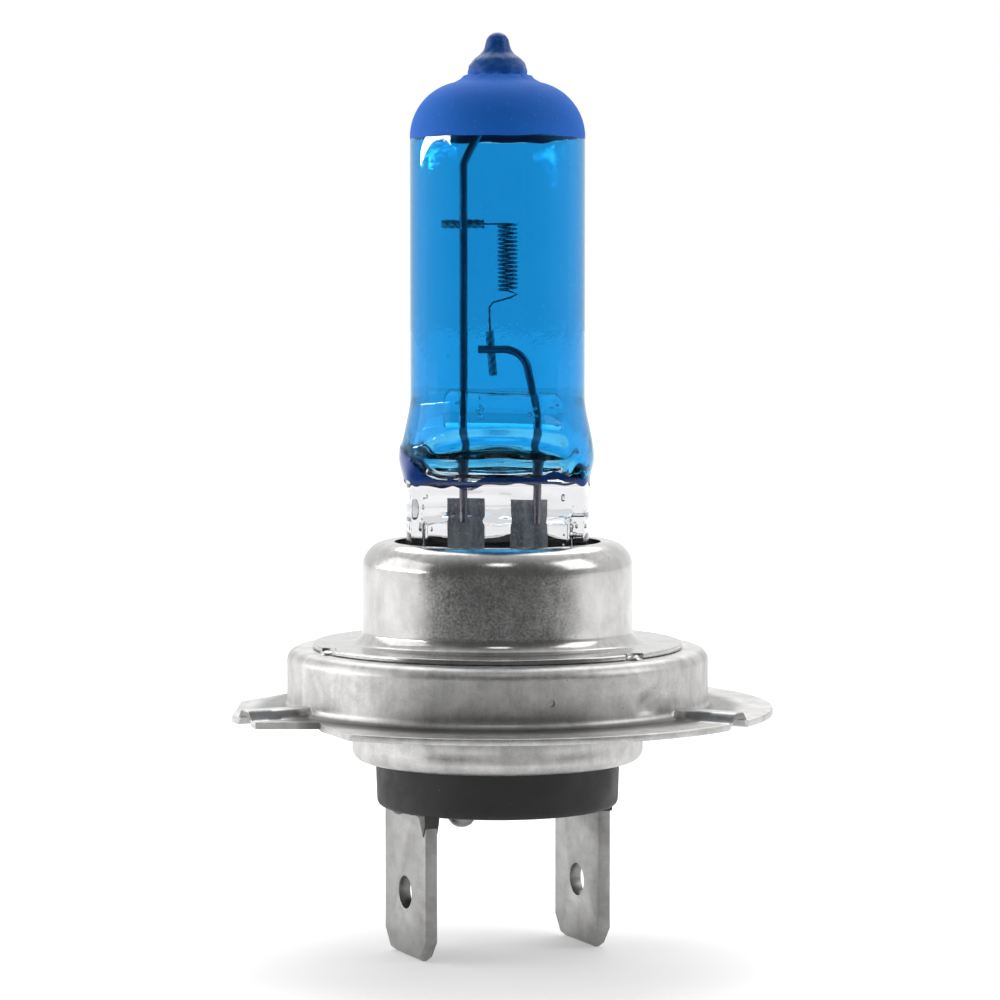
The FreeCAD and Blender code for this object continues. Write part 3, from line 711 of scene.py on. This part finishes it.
def add_seal_bubbles(bm):
    add_bubble(bm, (-5.02 * MM, 0.2 * MM, 11.55 * MM), (0.2 * MM, 0.12 * MM, 0.65 * MM))
    add_bubble(bm, (-4.75 * MM, -0.5 * MM, 10.5 * MM), (0.1 * MM, 0.1 * MM, 0.3 * MM))
    add_bubble(bm, (4.9 * MM, 0.1 * MM, 11.2 * MM), (0.42 * MM, 0.1 * MM, 0.12 * MM))
    dice = random.Random(11)
    for _ in range(60):
        side = dice.choice((-1, 1))
        size = dice.uniform(0.03, 0.14) * MM
        place = (side * dice.uniform(4.0, 5.3) * MM, dice.uniform(-0.9, 0.9) * MM,
                 dice.uniform(6.0, 12.3) * MM)
        add_bubble(bm, place, (size, size, size * dice.uniform(1.0, 2.0)))


def add_wall_specks(bm):
    dice = random.Random(5)
    middle = TUBE_R - WALL / 2
    for _ in range(18):
        angle = dice.uniform(0, math.tau)
        size = dice.uniform(0.025, 0.06) * MM
        place = (middle * math.cos(angle), middle * math.sin(angle), dice.uniform(19.5, 33.5) * MM)
        add_bubble(bm, place, (size, size, size))


def make_bulb_glass():
    bm = glass_outside()
    add_mesh(bm, chamber_wall())
    add_seal_bubbles(bm)
    add_wall_specks(bm)
    obj = mesh_object("bulb_glass", bm)
    finish_piece(obj, QUARTZ, ["quartz_envelope"], 60)


def coat_edge(angle):
    """How far the coat's lower edge hangs below its mean line, at an angle round the tube."""
    ripple = 0.42 * math.sin(3 * angle + 1.1) + 0.34 * math.sin(9 * angle) + 0.2 * math.sin(17 * angle + 2)
    return 0.42 * MM * (0.3 + ripple)


def in_left_pool(point):
    """How far a point lies inside the pool of paint on the belly's left side, 0 to 1."""
    slant = point.x + 0.79 * point.z
    return smoothstep(6.62 * MM, 6.3 * MM, slant) * smoothstep(-3.6 * MM, -3.9 * MM, point.x)


def make_filter_coat():
    """Closed film over the tube; its wavy lower edge follows the press and holds pooled paint."""
    rows = 90
    outer = [(1.0, i / rows) for i in range(rows + 1)]
    inner = [(0.9, z) for _, z in reversed(outer)]
    bm = spun(outer + inner, closed=True, steps=288)
    pooled = set()
    for vert in bm.verts:
        angle = math.atan2(vert.co.y, vert.co.x)
        inset = 0.0 if vert.co.xy.length > 0.95 else COAT_T
        bottom = COAT_EDGE_Z - coat_edge(angle)
        rise = (CAP_EDGE_Z - 0.01 * MM - bottom) * vert.co.z ** 1.25
        band = (0.5 + 0.3 * noise.noise(Vector((math.cos(angle), math.sin(angle), 0.3)) * 4)) * MM
        radius = tube_radius(bottom + rise) - inset
        vert.co = Vector((radius * math.cos(angle), radius * math.sin(angle), bottom + rise))
        shape_seal(vert.co)
        pool = in_left_pool(vert.co)
        vert.co.xy *= 1 + 0.02 * pool
        if rise < band or pool > 0.5:
            pooled.add(vert)
    painted = [int(all(vert in pooled for vert in face.verts)) for face in bm.faces]
    obj = mesh_object("filter_coat", bm)
    finish_piece(obj, FILTER, ["blue_filter_coat"], 60)
    obj.data.materials.append(POOLED_PAINT)
    obj.data.polygons.foreach_set("material_index", painted)


def make_cap_coat():
    """Opaque paint over the dome and the tip, with a lumpy collar round the tip's foot."""
    inner, outer = [[(TUBE_R - inset, CAP_EDGE_Z)] + dome_points(inset) + tip_points(inset)
                    for inset in (COAT_T, 0.0)]
    bm = spun([(0, TIP_TOP_Z - COAT_T)] + inner[-2::-1] + outer, closed=False, steps=192)
    for vert in bm.verts:
        point = vert.co
        radius = point.xy.length
        angle = math.atan2(point.y, point.x)
        if point.z < CAP_EDGE_Z + 0.05 * MM:
            point.z += 0.05 * MM * math.sin(5 * angle) + 0.03 * MM * math.sin(11 * angle + 1)
        lumps = noise.noise(Vector((math.cos(angle), math.sin(angle), point.z / MM)) * 3.1)
        collar = math.exp(-((radius - 1.95 * MM) / (0.22 * MM)) ** 2) if point.z > DOME_TOP_Z else 0
        grit = noise.noise(Vector((math.cos(angle), math.sin(angle), point.z / MM)) * 11)
        point.z += 0.13 * MM * collar * (0.7 + lumps + 0.8 * grit)
        if point.z > TIP_FOOT_Z:
            point.xy *= 1 + 0.04 * lumps * smoothstep(TIP_TOP_Z, 39.5 * MM, point.z)
    obj = mesh_object("cap_coat", bm)
    finish_piece(obj, PAINT, ["opaque_cap_coat"], 60)


# ---------------------------------------------------------------- wires inside the glass
def make_support_wires():
    foot_z, arm_z = 10.8 * MM, 21.4 * MM
    long_corners = ((LONG_X, foot_z), (LONG_X, 32.8 * MM), (-0.5 * MM, 35.9 * MM))
    short_corners = ((SHORT_X, foot_z), (SHORT_X, 17.4 * MM), (1.62 * MM, arm_z), (-1.2 * MM, arm_z))
    for name, node, corners, bend in (
            ("support_wire_long", "long_support_wire", long_corners, 0.8 * MM),
            ("support_wire_short", "short_support_wire", short_corners, 1.5 * MM)):
        route = rounded_route([(x, WIRE_Y, z) for x, z in corners], bend)
        finish_piece(wire_object(name, route, WIRE_R, 5), MOLYBDENUM, [node])


def make_filament():
    """Coil of 16 turns with its upper leg to the left and its lower leg stepping down."""
    coil_x, coil_r, filament_r = 0.6 * MM, 0.57 * MM, 0.065 * MM
    bottom_z, length, turns, turn_steps = 25.0 * MM, 4.1 * MM, 16, 22
    sleeve_y = (upper_sleeve_low.y + upper_sleeve_high.y) / 2
    top_z = bottom_z + length
    count = turns * turn_steps
    route = [Vector((upper_sleeve_low.x, sleeve_y, top_z)), Vector((coil_x - 0.75 * MM, sleeve_y, top_z))]
    for index in range(count + 1):
        angle = math.pi / 2 - math.tau * index / turn_steps
        sag = 0.03 * MM * math.sin(index * 0.9)
        z = top_z - length * index / count
        route.append(Vector((coil_x + coil_r * math.cos(angle) + 0.12 * MM * (1 - z / top_z) * 2,
                             coil_r * math.sin(angle), z + sag * 0.3)))
    low_x = -0.5 * MM
    route += [
        Vector((coil_x + 0.62 * MM, 0.3 * MM, bottom_z - 0.22 * MM)),
        Vector((coil_x + 0.2 * MM, 0.45 * MM, bottom_z - 0.42 * MM)),
        Vector((low_x + 0.22 * MM, sleeve_y, bottom_z - 0.72 * MM)),
        Vector((low_x, sleeve_y, bottom_z - 1.0 * MM)),
        Vector((low_x + 0.03 * MM, sleeve_y, lower_sleeve_high.z)),
        Vector((low_x + 0.25 * MM, sleeve_y, lower_sleeve_low.z)),
    ]
    obj = wire_object("filament", route, filament_r, 2)
    finish_piece(obj, TUNGSTEN, ["filament_coil"])


def wound_sleeve(name, start, end, radius, node):
    """Sleeve with a wire wound steeply round it, as crimped on a filament leg."""
    start, end = Vector(start), Vector(end)
    along = (end - start).normalized()
    side = along.orthogonal().normalized()
    other = along.cross(side)
    length = (end - start).length
    strands, twist = 4, math.tau * length / (1.9 * MM)
    core = wire_object(name + "_core", [start, end], radius * 0.82, 5)
    pieces = [core]
    for strand in range(strands):
        route = []
        for index in range(25):
            share = index / 24
            angle = twist * share + math.tau * strand / strands
            spoke = side * math.cos(angle) + other * math.sin(angle)
            route.append(start + along * length * share + spoke * radius * 0.68)
        pieces.append(wire_object(name + "_strand", route, radius * 0.32, 3))
    obj = joined(name, pieces)
    finish_piece(obj, SLEEVE_METAL, [node])


def make_sleeves():
    y = (upper_sleeve_low.y + upper_sleeve_high.y) / 2
    z = (upper_sleeve_low.z + upper_sleeve_high.z) / 2
    wound_sleeve("upper_sleeve", (upper_sleeve_low.x, y, z), (upper_sleeve_high.x, y, z),
                 0.3 * MM, "upper_leg_sleeve")
    wound_sleeve("lower_sleeve", (-0.27 * MM, y, lower_sleeve_low.z + 0.03 * MM),
                 (-0.5 * MM, y, lower_sleeve_high.z - 0.03 * MM), 0.28 * MM, "lower_leg_sleeve")


def make_bridge():
    """Quartz rod that both support wires pass through."""
    radius, rounding = 1.4 * MM, 0.4 * MM
    half = (bridge_high.x - bridge_low.x) / 2 - 0.03 * MM
    points = [(0, -half)] + arc((radius - rounding, -half + rounding), rounding, -90, 0, 6)
    points += arc((radius - rounding, half - rounding), rounding, 0, 90, 6) + [(0, half)]
    bm = spun(points, closed=False, steps=64)
    dice = random.Random(3)
    for along in (LONG_X, SHORT_X):
        for _ in range(12):
            size = dice.uniform(0.05, 0.14) * MM
            place = (dice.uniform(-0.8, 0.8) * MM, dice.uniform(-0.9, 0.2) * MM,
                     along + dice.choice((-1, 1)) * dice.uniform(0.4, 0.85) * MM)
            add_bubble(bm, place, (size, size, size))
    turn = turned(90 + 1.5, "Y")
    middle = Vector(((bridge_low.x + bridge_high.x) / 2, 0, (bridge_low.z + bridge_high.z) / 2))
    bm.transform(Matrix.Translation(middle) @ turn)
    obj = mesh_object("bead_rod", bm)
    cut_with(obj, [mesh_object("bore", pin(WIRE_R * 1.06, 8 * MM, 24,
                                           shifted(x, WIRE_Y, middle.z)))
                   for x in (LONG_X, SHORT_X)])
    finish_piece(obj, QUARTZ, ["quartz_bridge"], 50)


def make_foil(name, node):
    """Crinkled sealing foil."""
    low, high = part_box(node)
    bm = bmesh.new()
    bmesh.ops.create_cube(bm, size=1.0)
    bmesh.ops.subdivide_edges(bm, edges=bm.edges, cuts=14, use_grid_fill=True)
    centre, size = (low + high) / 2, high - low
    for vert in bm.verts:
        point = Vector((vert.co.x * size.x, vert.co.y * size.y, vert.co.z * size.z)) + centre
        flutter = noise.noise(Vector((point.x * 1100, 0.3, point.z * 700)))
        point.y += 0.05 * MM * flutter
        vert.co = point
    obj = mesh_object(name, bm)
    finish_piece(obj, FOIL_METAL, [node], 60)


# ---------------------------------------------------------------- pressed metal
def make_neck_cup():
    foot_top = RING_TOP_Z + SHEET
    fillet = (CUP_R + CUP_FILLET, foot_top + CUP_FILLET)
    roll = (CUP_R - CUP_ROLL, CUP_TOP_Z - CUP_ROLL)
    edge = 0.08 * MM
    points = [(CUP_FOOT_R - edge, RING_TOP_Z + 0.01 * MM), (CUP_FOOT_R, RING_TOP_Z + edge)]
    points += arc((CUP_FOOT_R - edge, foot_top - edge), edge, 0, 90, 3)
    points += line((CUP_FOOT_R - 2 * edge, foot_top), (fillet[0], foot_top), 6)
    points += arc(fillet, CUP_FILLET, -90, -180, 14)
    points += line((CUP_R, fillet[1] + 0.15 * MM), (CUP_R, roll[1]), 16)
    points += arc(roll, CUP_ROLL, 0, 104, 20)
    points += arc(roll, CUP_ROLL - SHEET, 104, 0, 14)
    points += line((CUP_R - SHEET, roll[1] - 0.15 * MM), (CUP_R - SHEET, fillet[1]), 6)
    points += arc(fillet, CUP_FILLET + SHEET, -180, -90, 8)
    bm = spun(points, closed=True, steps=240)
    for vert in bm.verts:
        point = vert.co
        wobble = noise.noise(point * 260)
        if RING_TOP_Z + 1.2 * MM < point.z:
            point.xy *= 1 + 0.0025 * wobble
    obj = mesh_object("cup", bm)
    outward = shifted(CUP_FOOT_R + 0.25 * MM, 0, RING_TOP_Z)
    cut_with(obj, [mesh_object("scoop", pin(SCOOP_R, 3 * MM, 40, outward, turned(angle)))
                   for angle in SCOOP_ANGLES])
    finish_piece(obj, CUP_STEEL, ["neck_cup"], 35)


def make_welds():
    """Uneven weld nuggets in the scoops."""
    bm = bmesh.new()
    for angle in SCOOP_ANGLES:
        nugget = bmesh.new()
        bmesh.ops.create_icosphere(nugget, subdivisions=4, radius=0.5 * MM)
        nugget.transform(Matrix.Diagonal((1, 1.15, 0.5, 1)))
        nugget.transform(shifted(CUP_FOOT_R - 0.1 * MM, 0, RING_TOP_Z + 0.02 * MM))
        nugget.transform(turned(angle))
        for vert in nugget.verts:
            vert.co.z += 0.12 * MM * noise.noise(vert.co * 2600)
        add_mesh(bm, nugget)
    obj = mesh_object("weld_nuggets", bm)
    finish_piece(obj, CUP_STEEL, ["ring_welds"], 60)


def boss_height(point):
    """Height of the pressed boss over the flange at a point, from 0 to 1."""
    angle = math.atan2(point.y, point.x)
    radius = point.xy.length
    height = 0.0
    for boss in BOSS_ANGLES:
        turn = (angle - math.radians(boss) + math.pi) % math.tau - math.pi
        if abs(turn) < 0.3:
            across = abs(math.sin(turn) * radius)
            height = max(height, smoothstep(BOSS_HALF_W, 0.38 * BOSS_HALF_W, across))
    return height


RING_DENTS = (
    # angle, height, half size, depth: a knock and the bulge beside it
    (-47.5, 0.55 * MM, 0.65 * MM, 0.16 * MM),
    (-36.0, 0.9 * MM, 0.6 * MM, -0.1 * MM),
)


def make_focus_ring():
    flange_top = FLANGE_BOTTOM_Z + RING_SHEET
    shoulder = (RING_R - RING_SHOULDER, RING_TOP_Z - RING_SHOULDER)
    fillet = (RING_R + RING_FILLET, flange_top + RING_FILLET)
    edge = 0.07 * MM
    points = line((RING_HOLE_R, RING_TOP_Z), (shoulder[0], RING_TOP_Z), 6)
    points += arc(shoulder, RING_SHOULDER, 90, 0, 10)
    points += line((RING_R, shoulder[1] - 0.1 * MM), (RING_R, fillet[1]), 16)
    points += arc(fillet, RING_FILLET, 180, 270, 8)
    points += line((fillet[0] + 0.2 * MM, flange_top), (FLANGE_R - edge, flange_top), 12)
    points += arc((FLANGE_R - edge, flange_top - edge), edge, 90, 0, 3)
    points += arc((FLANGE_R - edge, FLANGE_BOTTOM_Z + edge), edge, 0, -90, 3)
    points += line((FLANGE_R - 0.3 * MM, FLANGE_BOTTOM_Z), (fillet[0], FLANGE_BOTTOM_Z), 12)
    points += arc(fillet, RING_FILLET + RING_SHEET, 270, 180, 8)
    points += line((RING_R - RING_SHEET, fillet[1] + 0.2 * MM), (RING_R - RING_SHEET, shoulder[1]), 5)
    points += arc(shoulder, RING_SHOULDER - RING_SHEET, 0, 90, 5)
    points += [(RING_HOLE_R, RING_TOP_Z - RING_SHEET)]
    bm = spun(points, closed=True, steps=480)
    for vert in bm.verts:
        raise_boss(vert.co, flange_top)
        dent_wall(vert.co)
    obj = mesh_object("ring_and_flange", bm)
    cut_with(obj, flange_cutters())
    finish_piece(obj, RING_STEEL, ["focus_ring"], 35)


def raise_boss(point, flange_top):
    if point.z > 0 or point.xy.length < RING_R - 0.45 * MM:
        return
    lift = -flange_top * boss_height(point)
    under = point.z < flange_top - 0.5 * RING_SHEET or point.xy.length < RING_R - 0.01 * MM
    base = FLANGE_BOTTOM_Z if under else flange_top
    if lift > 0 and point.xy.length > RING_R - 0.01 * MM:
        point.z = max(point.z, min(0.0, base + lift + (point.z - base) * 0.4))


def dent_wall(point):
    if point.xy.length < RING_R - 0.05 * MM or not -0.1 * MM < point.z < RING_TOP_Z - 0.8 * MM:
        return
    angle = math.atan2(point.y, point.x)
    for where, height, size, depth in RING_DENTS:
        away = math.hypot((angle - math.radians(where)) * RING_R, point.z - height) / size
        point.xy *= 1 - depth * math.exp(-away ** 2) / RING_R
    point.xy *= 1 + 0.0006 * noise.noise(point * 300)


def flange_cutters():
    """Blocks that cut the two flats and the notch out of the flange, and a pin for the pinhole."""
    side_flat, corner_flat, corner_deg = 16.0 * MM, 14.74 * MM, 149.4
    cutters = []
    for distance, degrees in ((side_flat, 180.0), (corner_flat, corner_deg)):
        outward = shifted(distance + 3 * MM, 0, 0)
        cutters.append(mesh_object("flat_cutter", block((6 * MM, 40 * MM, 5 * MM), outward,
                                                        turned(degrees))))
    corners = [(-19, -9.1), (-10.6, -9.1), (-10.4, -10.4), (-7.9, -16.2), (-7.9, -19), (-19, -19)]
    notch = plate([(x * MM, y * MM, -3 * MM) for x, y in corners], (0, 0, 5 * MM))
    cutters.append(mesh_object("notch_cutter", notch))
    hole = pin(PINHOLE_R, 1.2 * MM, 24, turned(90, "Y"),
               shifted(RING_R, 0, PINHOLE_Z), turned(PINHOLE_DEG))
    cutters.append(mesh_object("pin_cutter", hole))
    return cutters


def make_base_shell():
    inner = SHELL_R - SHEET
    foot_top = shell_high.z
    knee = (SHELL_R - SHELL_ROUND, SHELL_BOTTOM_Z + SHELL_ROUND)
    points = arc((SHELL_LIP_R + 0.08 * MM, SHELL_BOTTOM_Z + 0.08 * MM), 0.08 * MM, 180, 270, 3)
    points += line((SHELL_LIP_R + 0.3 * MM, SHELL_BOTTOM_Z), (knee[0], SHELL_BOTTOM_Z), 3)
    points += arc(knee, SHELL_ROUND, -90, 0, 10)
    points += line((SHELL_R, knee[1] + 0.1 * MM), (SHELL_R, foot_top - SHEET), 24)
    points += [(SHELL_R, foot_top - SHEET), (shell_high.x, foot_top - SHEET), (shell_high.x, foot_top),
               (inner, foot_top)]
    points += line((inner, foot_top - 0.2 * MM), (inner, knee[1]), 8)
    points += arc(knee, SHELL_ROUND - SHEET, 0, -90, 5)
    points += [(SHELL_LIP_R + 0.02 * MM, SHELL_BOTTOM_Z + SHEET)]
    bm = spun(points, closed=True, steps=240)
    for vert in bm.verts:
        point = vert.co
        if point.xy.length > SHELL_R - 0.1 * MM and point.xy.length < SHELL_R + 0.1 * MM:
            crease = math.exp(-((point.z + 2.6 * MM) / (0.12 * MM)) ** 2)
            drift = noise.noise(Vector((point.x * 200, point.y * 200, 0.2)))
            point.xy *= 1 - (0.05 * MM * crease * (0.6 + drift)) / SHELL_R
    obj = mesh_object("lower_shell", bm)
    finish_piece(obj, RING_STEEL, ["base_shell"], 35)


# ---------------------------------------------------------------- base
def turned_to(bm, side):
    """Turn a right-hand shape from the blades' own axes to its side of the bulb."""
    bm.transform(Matrix.Rotation(BLADE_TURN + (math.pi if side < 0 else 0.0), 4, "Z"))
    return bm


def make_insulator():
    top = body_high.z
    shoulder = SHELL_BOTTOM_Z + SHEET
    well_r, well_floor = 7.5 * MM, -3.4 * MM
    edge = (STEM_R - 0.1 * MM - STEM_EDGE, BODY_BOTTOM_Z + STEM_EDGE)
    points = [(0, BODY_BOTTOM_Z)] + line((1 * MM, BODY_BOTTOM_Z), (edge[0], BODY_BOTTOM_Z), 5)
    points += arc(edge, STEM_EDGE, -90, 0, 8)
    points += line((STEM_R - 0.09 * MM, edge[1] + 0.15 * MM), (STEM_R, shoulder), 10)
    points += [(STEM_R, shoulder), (body_high.x - 0.35 * MM, shoulder),
               (body_high.x, shoulder + 0.35 * MM), (body_high.x, top), (well_r, top),
               (well_r, well_floor), (0, well_floor)]
    bm = spun(points, closed=False, steps=200)
    obj = mesh_object("moulded_insulator", bm)
    slot_size = (BLADE_T + 0.12 * MM, BLADE_W + 0.12 * MM, 8 * MM)
    to_blade = shifted(BLADE_X, 0, BODY_BOTTOM_Z)
    cut_with(obj, [mesh_object("blade_slot", turned_to(block(slot_size, to_blade), side))
                   for side in (1, -1)])
    finish_piece(obj, MOULDED, ["insulator"], 35)


def make_blade(name, node, side):
    """Flat tab with a detent hole, cut corners and a bevelled lead-in, and its inward foot."""
    half_w, half_t = BLADE_W / 2, BLADE_T / 2
    cut_w, cut_h = CORNER_CUT
    top = blade_high.z
    outline = [(-half_w, top), (-half_w, BLADE_BOTTOM_Z + cut_h), (-half_w + cut_w, BLADE_BOTTOM_Z),
               (half_w - cut_w, BLADE_BOTTOM_Z), (half_w, BLADE_BOTTOM_Z + cut_h), (half_w, top)]
    bm = plate([(BLADE_X - half_t, y, z) for y, z in outline], (BLADE_T, 0, 0))
    lower = [e for e in bm.edges if all(abs(v.co.z - BLADE_BOTTOM_Z) < 1e-7 for v in e.verts)
             and abs(e.verts[0].co.y - e.verts[1].co.y) > 1 * MM]
    bmesh.ops.bevel(bm, geom=lower, offset=0.27 * MM, affect="EDGES", segments=1, profile=0.5,
                    material=-1)
    turned_to(bm, side)
    obj = mesh_object(name, bm)
    hole = pin(DETENT_R, 4 * MM, 48, turned(90, "Y"), shifted(BLADE_X, 0, DETENT_Z))
    cut_with(obj, [mesh_object("detent", turned_to(hole, side))])
    soften_edges(obj, 0.05 * MM, 2)
    foot_length = 4.2 * MM
    foot = block((foot_length, BLADE_W, BLADE_T),
                 shifted(BLADE_X - half_t - foot_length / 2, 0, top - half_t))
    obj = joined(name, [obj, mesh_object("foot", turned_to(foot, side))])
    finish_piece(obj, TAB_STEEL, [node], 30)


def make_rivets():
    """Domed rivet heads under the insulator."""
    bm = bmesh.new()
    x, y = RIVET_XY
    for side in (1, -1):
        low = BODY_BOTTOM_Z - RIVET_HEAD_H
        points = [(0, low), (0.35 * MM, low + 0.06 * MM), (0.62 * MM, low + 0.22 * MM),
                  (0.82 * MM, low + 0.5 * MM), (RIVET_HEAD_R, low + 0.85 * MM),
                  (RIVET_HEAD_R, BODY_BOTTOM_Z - 0.01 * MM), (0, BODY_BOTTOM_Z - 0.01 * MM)]
        head = spun(points, closed=False, steps=48)
        head.transform(shifted(x, y, 0))
        add_mesh(bm, turned_to(head, side))
    obj = mesh_object("rivet_heads", bm)
    finish_piece(obj, TAB_STEEL, ["blade_rivets"], 40)


def make_resin():
    """Resin that oozed out round the blades, with a drip on the left one's near edge."""
    bm = bmesh.new()
    half_w = BLADE_W / 2
    for side in (1, -1):
        collar = bmesh.new()
        bmesh.ops.create_cube(collar, size=1.0)
        bmesh.ops.subdivide_edges(collar, edges=collar.edges, cuts=20, use_grid_fill=True)
        for vert in collar.verts:
            y = vert.co.y * (BLADE_W + 0.22 * MM)
            below = 0.5 - vert.co.z
            hang = 0.3 * MM + 0.24 * MM * noise.noise(Vector((y * 900, side, 0.4)))
            drip = 1.0 * MM * math.exp(-((y - half_w + 0.25 * MM) / (0.3 * MM)) ** 2) if side < 0 else 0
            x = vert.co.x * (BLADE_T + (0.2 - 0.08 * below) * MM)
            vert.co = Vector((BLADE_X + x, y, BODY_BOTTOM_Z + 0.02 * MM - below * (hang + drip)))
        add_mesh(bm, turned_to(collar, side))
    obj = mesh_object("resin_ooze", bm)
    finish_piece(obj, RESIN, ["potting_resin"], 60)


def dress_hidden_nodes():
    """The pieces inside the cup and the base keep their own shapes."""
    for node, metal in (("holder_plate", SPRING_STEEL), ("holder_tongue_front", SPRING_STEEL),
                        ("holder_tongue_rear", SPRING_STEEL), ("outer_lead_left", MOLYBDENUM),
                        ("outer_lead_right", MOLYBDENUM)):
        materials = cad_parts[node].data.materials
        materials.clear()
        materials.append(metal)


# ---------------------------------------------------------------- studio
LENS, CAMERA_PLACE, CAMERA_DIP_DEG = 125.6, (0.00015, -0.215, 0.0245), 3.30
DARK_SIDE_Y, LIGHT_SIDE_Y, DARK_TONE = -0.8, 0.5, 0.13      # the room is darker on the camera's side


def make_studio():
    bm = bmesh.new()
    bmesh.ops.create_grid(bm, x_segments=1, y_segments=1, size=0.5)
    bm.transform(Matrix.Diagonal((4.0, 4.1, 1.0, 1.0)))
    bm.transform(shifted(0, 1.95, BLADE_BOTTOM_Z))
    sheet = mesh_object("paper_floor", bm)
    paper, tree = new_material("paper", Roughness=0.9, Emission_Strength=0.25,
                               Emission_Color=(1.0, 1.0, 1.0, 1))
    stain = place_group(tree, MOTTLE, Scale=6.0, Grain=300.0)
    tone = mix_colour(tree, stain["Stain"], (0.93, 0.93, 0.93, 1), (0.95, 0.95, 0.95, 1))
    tree.links.new(tone, tree.nodes["Principled BSDF"].inputs["Base Color"])
    sheet.data.materials.append(paper)


def add_box(name, place, aim, size, radiance, roll=0.0):
    """Soft box of the given size; radiance is what a mirror would show of it."""
    light = bpy.data.lights.new(name, "AREA")
    light.shape = "RECTANGLE"
    light.size, light.size_y = size
    light.energy = math.pi * size[0] * size[1] * radiance
    obj = place_object(name, light)
    obj.location = place
    obj.rotation_mode = "QUATERNION"
    facing = (Vector(aim) - Vector(place)).to_track_quat("-Z", "Y")
    obj.rotation_quaternion = facing @ Quaternion((0, 0, 1), math.radians(roll))


def make_lights():
    aim = (0, 0, 0.02)
    add_box("left_box", (-0.42, 0.02, 0.205), (0, 0, 0.205), (0.44, 0.3), 1.1)
    add_box("left_strip", (-0.41, 0.02, 0.0535), (0, 0.02, 0.0535), (0.44, 0.0028), 90.0, 0.45)
    add_box("right_box", (0.41, -0.08, 0.27), aim, (0.26, 0.28), 2.0)
    add_box("front_box", (0.01, -0.36, 0.4), aim, (0.12, 0.1), 3.0)
    overhead = bpy.data.lights.new("overhead", "SUN")
    overhead.energy = 1.2
    overhead.angle = math.radians(55)
    lamp = place_object("overhead", overhead)
    lamp.rotation_euler = (math.radians(-36), 0, 0)
    world = bpy.data.worlds.new("studio_room")
    bpy.context.scene.world = world
    world.use_nodes = True
    tree = world.node_tree
    background = tree.nodes["Background"]
    place = tree.nodes.new("ShaderNodeTexCoord")
    split = tree.nodes.new("ShaderNodeSeparateXYZ")
    tree.links.new(place.outputs["Generated"], split.inputs[0])
    front = remap(tree, split.outputs["Y"], DARK_SIDE_Y, LIGHT_SIDE_Y, 0.0, 1.0)
    tone = mix_colour(tree, front, (DARK_TONE, DARK_TONE, DARK_TONE, 1), (1.0, 1.0, 1.0, 1))
    tree.links.new(tone, background.inputs["Color"])
    background.inputs["Strength"].default_value = 1.0


def make_camera():
    camera = bpy.data.cameras.new("camera")
    camera.sensor_width, camera.lens = 36.0, LENS
    camera.clip_start, camera.clip_end = 0.01, 10.0
    obj = place_object("camera", camera)
    obj.location = CAMERA_PLACE
    obj.rotation_euler = (math.radians(90 - CAMERA_DIP_DEG), 0, 0)
    bpy.context.scene.camera = obj
    bpy.context.scene.view_settings.view_transform = "Standard"


make_bulb_glass()
make_filter_coat()
make_cap_coat()
make_support_wires()
make_filament()
make_sleeves()
make_bridge()
make_foil("sealing_foil_left", "foil_left")
make_foil("sealing_foil_right", "foil_right")
make_neck_cup()
make_welds()
make_focus_ring()
make_base_shell()
make_insulator()
make_blade("blade_left", "contact_blade_left", -1)
make_blade("blade_right", "contact_blade_right", 1)
make_rivets()
make_resin()
dress_hidden_nodes()
make_studio()
make_lights()
make_camera()
